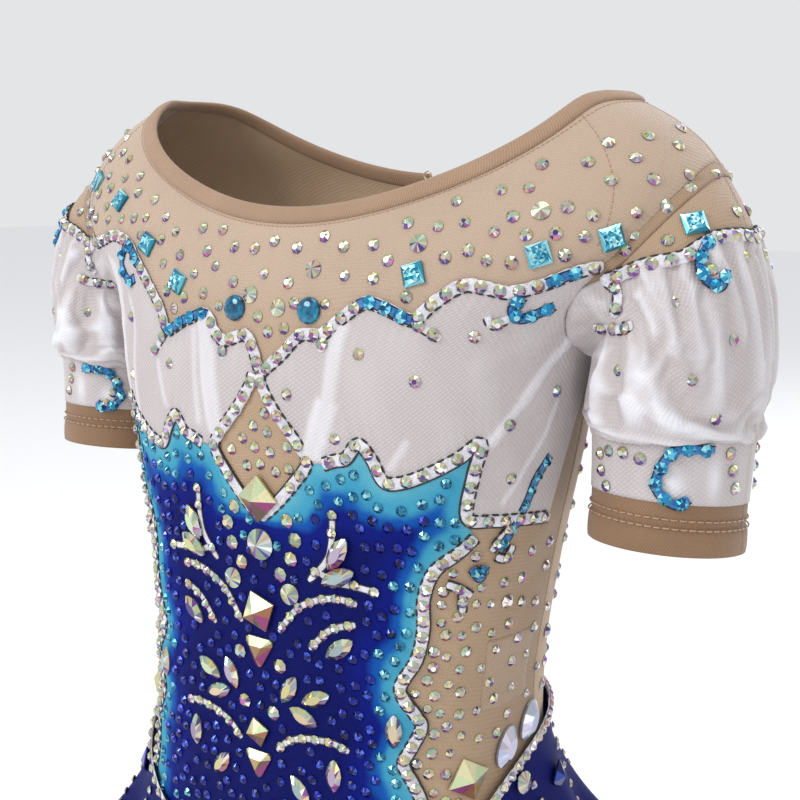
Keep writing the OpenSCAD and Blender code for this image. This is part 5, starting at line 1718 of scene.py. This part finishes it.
def build_seams():
    """Stitched seams: sides, princess lines, binding ditch and armholes."""
    seams = Bundle()
    for sign in (1, -1):
        for line in ([(50, -24), (50, -40), (51, -56), (52, -68)], [(90, -112), (90, -170), (90, -230), (90, -300)]):
            places = [(sign * a, z) for a, z in line]
            p, n = line_on(places, 0.42, 24)
            dashes(seams, p, n, 0.2, 1.5, 0.7)
        t = np.linspace(0, 360, 200)
        arm = np.stack(armhole(t), -1)
        arm[:, 0] = np.where(t > 180, 90 - (arm[:, 0] - 90) * 1, arm[:, 0])
        a, z = 90 - 32 * np.sin(np.radians(t)), -74 + 34 * np.cos(np.radians(t))
        mirror = np.array([sign, 1, 1])
        p, n = on(a, z, 0.55) * mirror, skin_normal(a, z) * mirror
        verts, faces = tube(p, n, 0.35, 0.3, 6)
        seams.add(verts, faces)
    for off_z, scoop in ((0.0, 1),):
        a = 178.0 - np.linspace(0, 356, 620)
        c = np.cos(np.radians(a))
        z = np.where(c > 0, front_neck(a), back_neck(a)) - below_binding(a) * 1.02
        dashes(seams, on(a, z, 0.42), skin_normal(a, z), 0.2, 1.4, 0.6)
    place(seams.piece("seam_stitches"), SEAM, "nude_trim")


def dress_node(name, material, bevel=0.0):
    """Keeps a CAD node's shape and gives it its material."""
    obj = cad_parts[name]
    obj.data.materials.clear()
    obj.data.materials.append(material)


def build_zipper():
    """Woven tapes and coil teeth, in the zipper's own frame."""
    lean = math.atan(ZIP_SLOPE)
    down = np.array([0, -math.sin(lean), -math.cos(lean)])
    out = np.array([0, math.cos(lean), -math.sin(lean)])
    top = np.array([0, ZIP_TOP[0], ZIP_TOP[1]])

    def at(x, y, d):
        x, y, d = np.broadcast_arrays(*(np.asarray(v, float) for v in (x, y, d)))
        return top + np.stack([x, x * 0, x * 0], -1) + y[..., None] * out + d[..., None] * down

    length = 192
    for name, sign in (("left", 1), ("right", -1)):
        x, d = np.meshgrid(np.linspace(0.3, 11.8, 12), np.linspace(2, length, 120))
        wave = 0.12 * np.sin(d * 0.35 + x)
        points = at(sign * x, -1.25 + wave, d)
        piece = grid_piece(f"{name}_tape_weave", points if sign < 0 else points[:, ::-1])
        thicken(piece, 0.5, 0.0)
        place(piece, TAPE, "zip_tape", f"{name}_zip_tape")
        teeth = Bundle()
        n = 79
        for k in range(n):
            base = 9.2 + k * 2.0 + (0.5 if sign > 0 else -0.5)
            s = np.linspace(0, 1, 9)
            path = at(sign * (2.7 - 2.9 * np.sin(np.pi * s)), -0.9 + 1.9 * s, base + 0.2 * np.sin(2 * np.pi * s))
            verts, faces = tube(path, np.tile(down, (9, 1)), 0.42, 0.42, 6)
            teeth.add(verts, faces)
        d = np.linspace(7.5, 168, 90)
        verts, faces = tube(at(sign * 2.5, -0.4 + 0 * d, d), np.tile(out, (90, 1)), 0.5, 0.5, 8)
        teeth.add(verts, faces)
        place(teeth.piece(f"{name}_coil_teeth"), COIL, "zip_coil", f"{name}_zip_teeth")
    for name in ("zip_top_stops", "zip_bottom_stop", "zip_slider", "zip_pull_tab", "neck_hook", "neck_eye"):
        dress_node(name, METAL)


# --- Stage ---------------------------------------------------------------------------------


def build_stage():
    size, level = 6.0, cad_box[0].z - 0.02
    floor = make("floor", np.array([(-size, -size, level), (size, -size, level), (size, size, level),
                                    (-size, size, level)]) / MM, [(0, 1, 2, 3)], False)
    s = Shader("pale_floor", Roughness=0.9)
    s.bsdf.inputs["Base Color"].default_value = (0.93, 0.93, 0.94, 1)
    floor.data.materials.append(s.material)

    world = bpy.data.worlds.new("studio")
    bpy.context.scene.world = world
    world.use_nodes = True
    world.node_tree.nodes["Background"].inputs[0].default_value = (0.97, 0.98, 1.0, 1)
    world.node_tree.nodes["Background"].inputs[1].default_value = 0.8

    def lamp(name, where, size, power, target=(0, 0, -0.17)):
        data = bpy.data.lights.new(name, "AREA")
        data.shape, data.size, data.energy = "DISK", size, power
        obj = bpy.data.objects.new(name, data)
        obj.location = where
        obj.rotation_euler = (Vector(target) - Vector(where)).to_track_quat("-Z", "Y").to_euler()
        bpy.context.scene.collection.objects.link(obj)

    lamp("key", (-0.9, -1.5, 0.9), 0.9, 17)
    lamp("fill", (1.6, -1.1, 0.2), 1.2, 3)
    lamp("top", (0.1, -0.1, 1.5), 1.0, 6)
    lamp("back", (0.5, 1.6, 0.7), 1.2, 8)


def build_camera():
    """Camera at the height of the waist, from the wearer's front left."""
    turn, rise, roll = math.radians(33.4), math.radians(10.9), math.radians(0.74)
    distance, aside, height = 0.520, 0.0157, -0.140
    back = Vector((math.sin(turn) * math.cos(rise), -math.cos(turn) * math.cos(rise), math.sin(rise)))
    across = Vector((math.cos(turn), math.sin(turn), 0))
    up = back.cross(across)
    data = bpy.data.cameras.new("camera")
    data.sensor_width = 36
    data.lens = 55.0
    data.clip_start = 0.01
    camera = bpy.data.objects.new("camera", data)
    bpy.context.scene.collection.objects.link(camera)
    right = across * math.cos(roll) + up * math.sin(roll)
    upright = -across * math.sin(roll) + up * math.cos(roll)
    place_ = across * aside + Vector((0, 0, height)) + back * distance
    camera.matrix_world = [(*row, 0) for row in ()] or matrix_of(right, upright, back, place_)
    bpy.context.scene.camera = camera


def matrix_of(x, y, z, where):
    from mathutils import Matrix
    m = Matrix.Identity(4)
    for k, v in enumerate((x, y, z, where)):
        m[0][k], m[1][k], m[2][k] = v
    return m


build_camera()
build_stage()
build_front()
build_backs()
build_briefs()
build_gusset()
build_leg_elastics()
build_binding()
build_overlays()
build_panel()
build_borders()
build_sleeves()
build_skirt()
build_label()
build_seams()
build_zipper()
build_stones()

bpy.context.scene.view_settings.view_transform = "Standard"
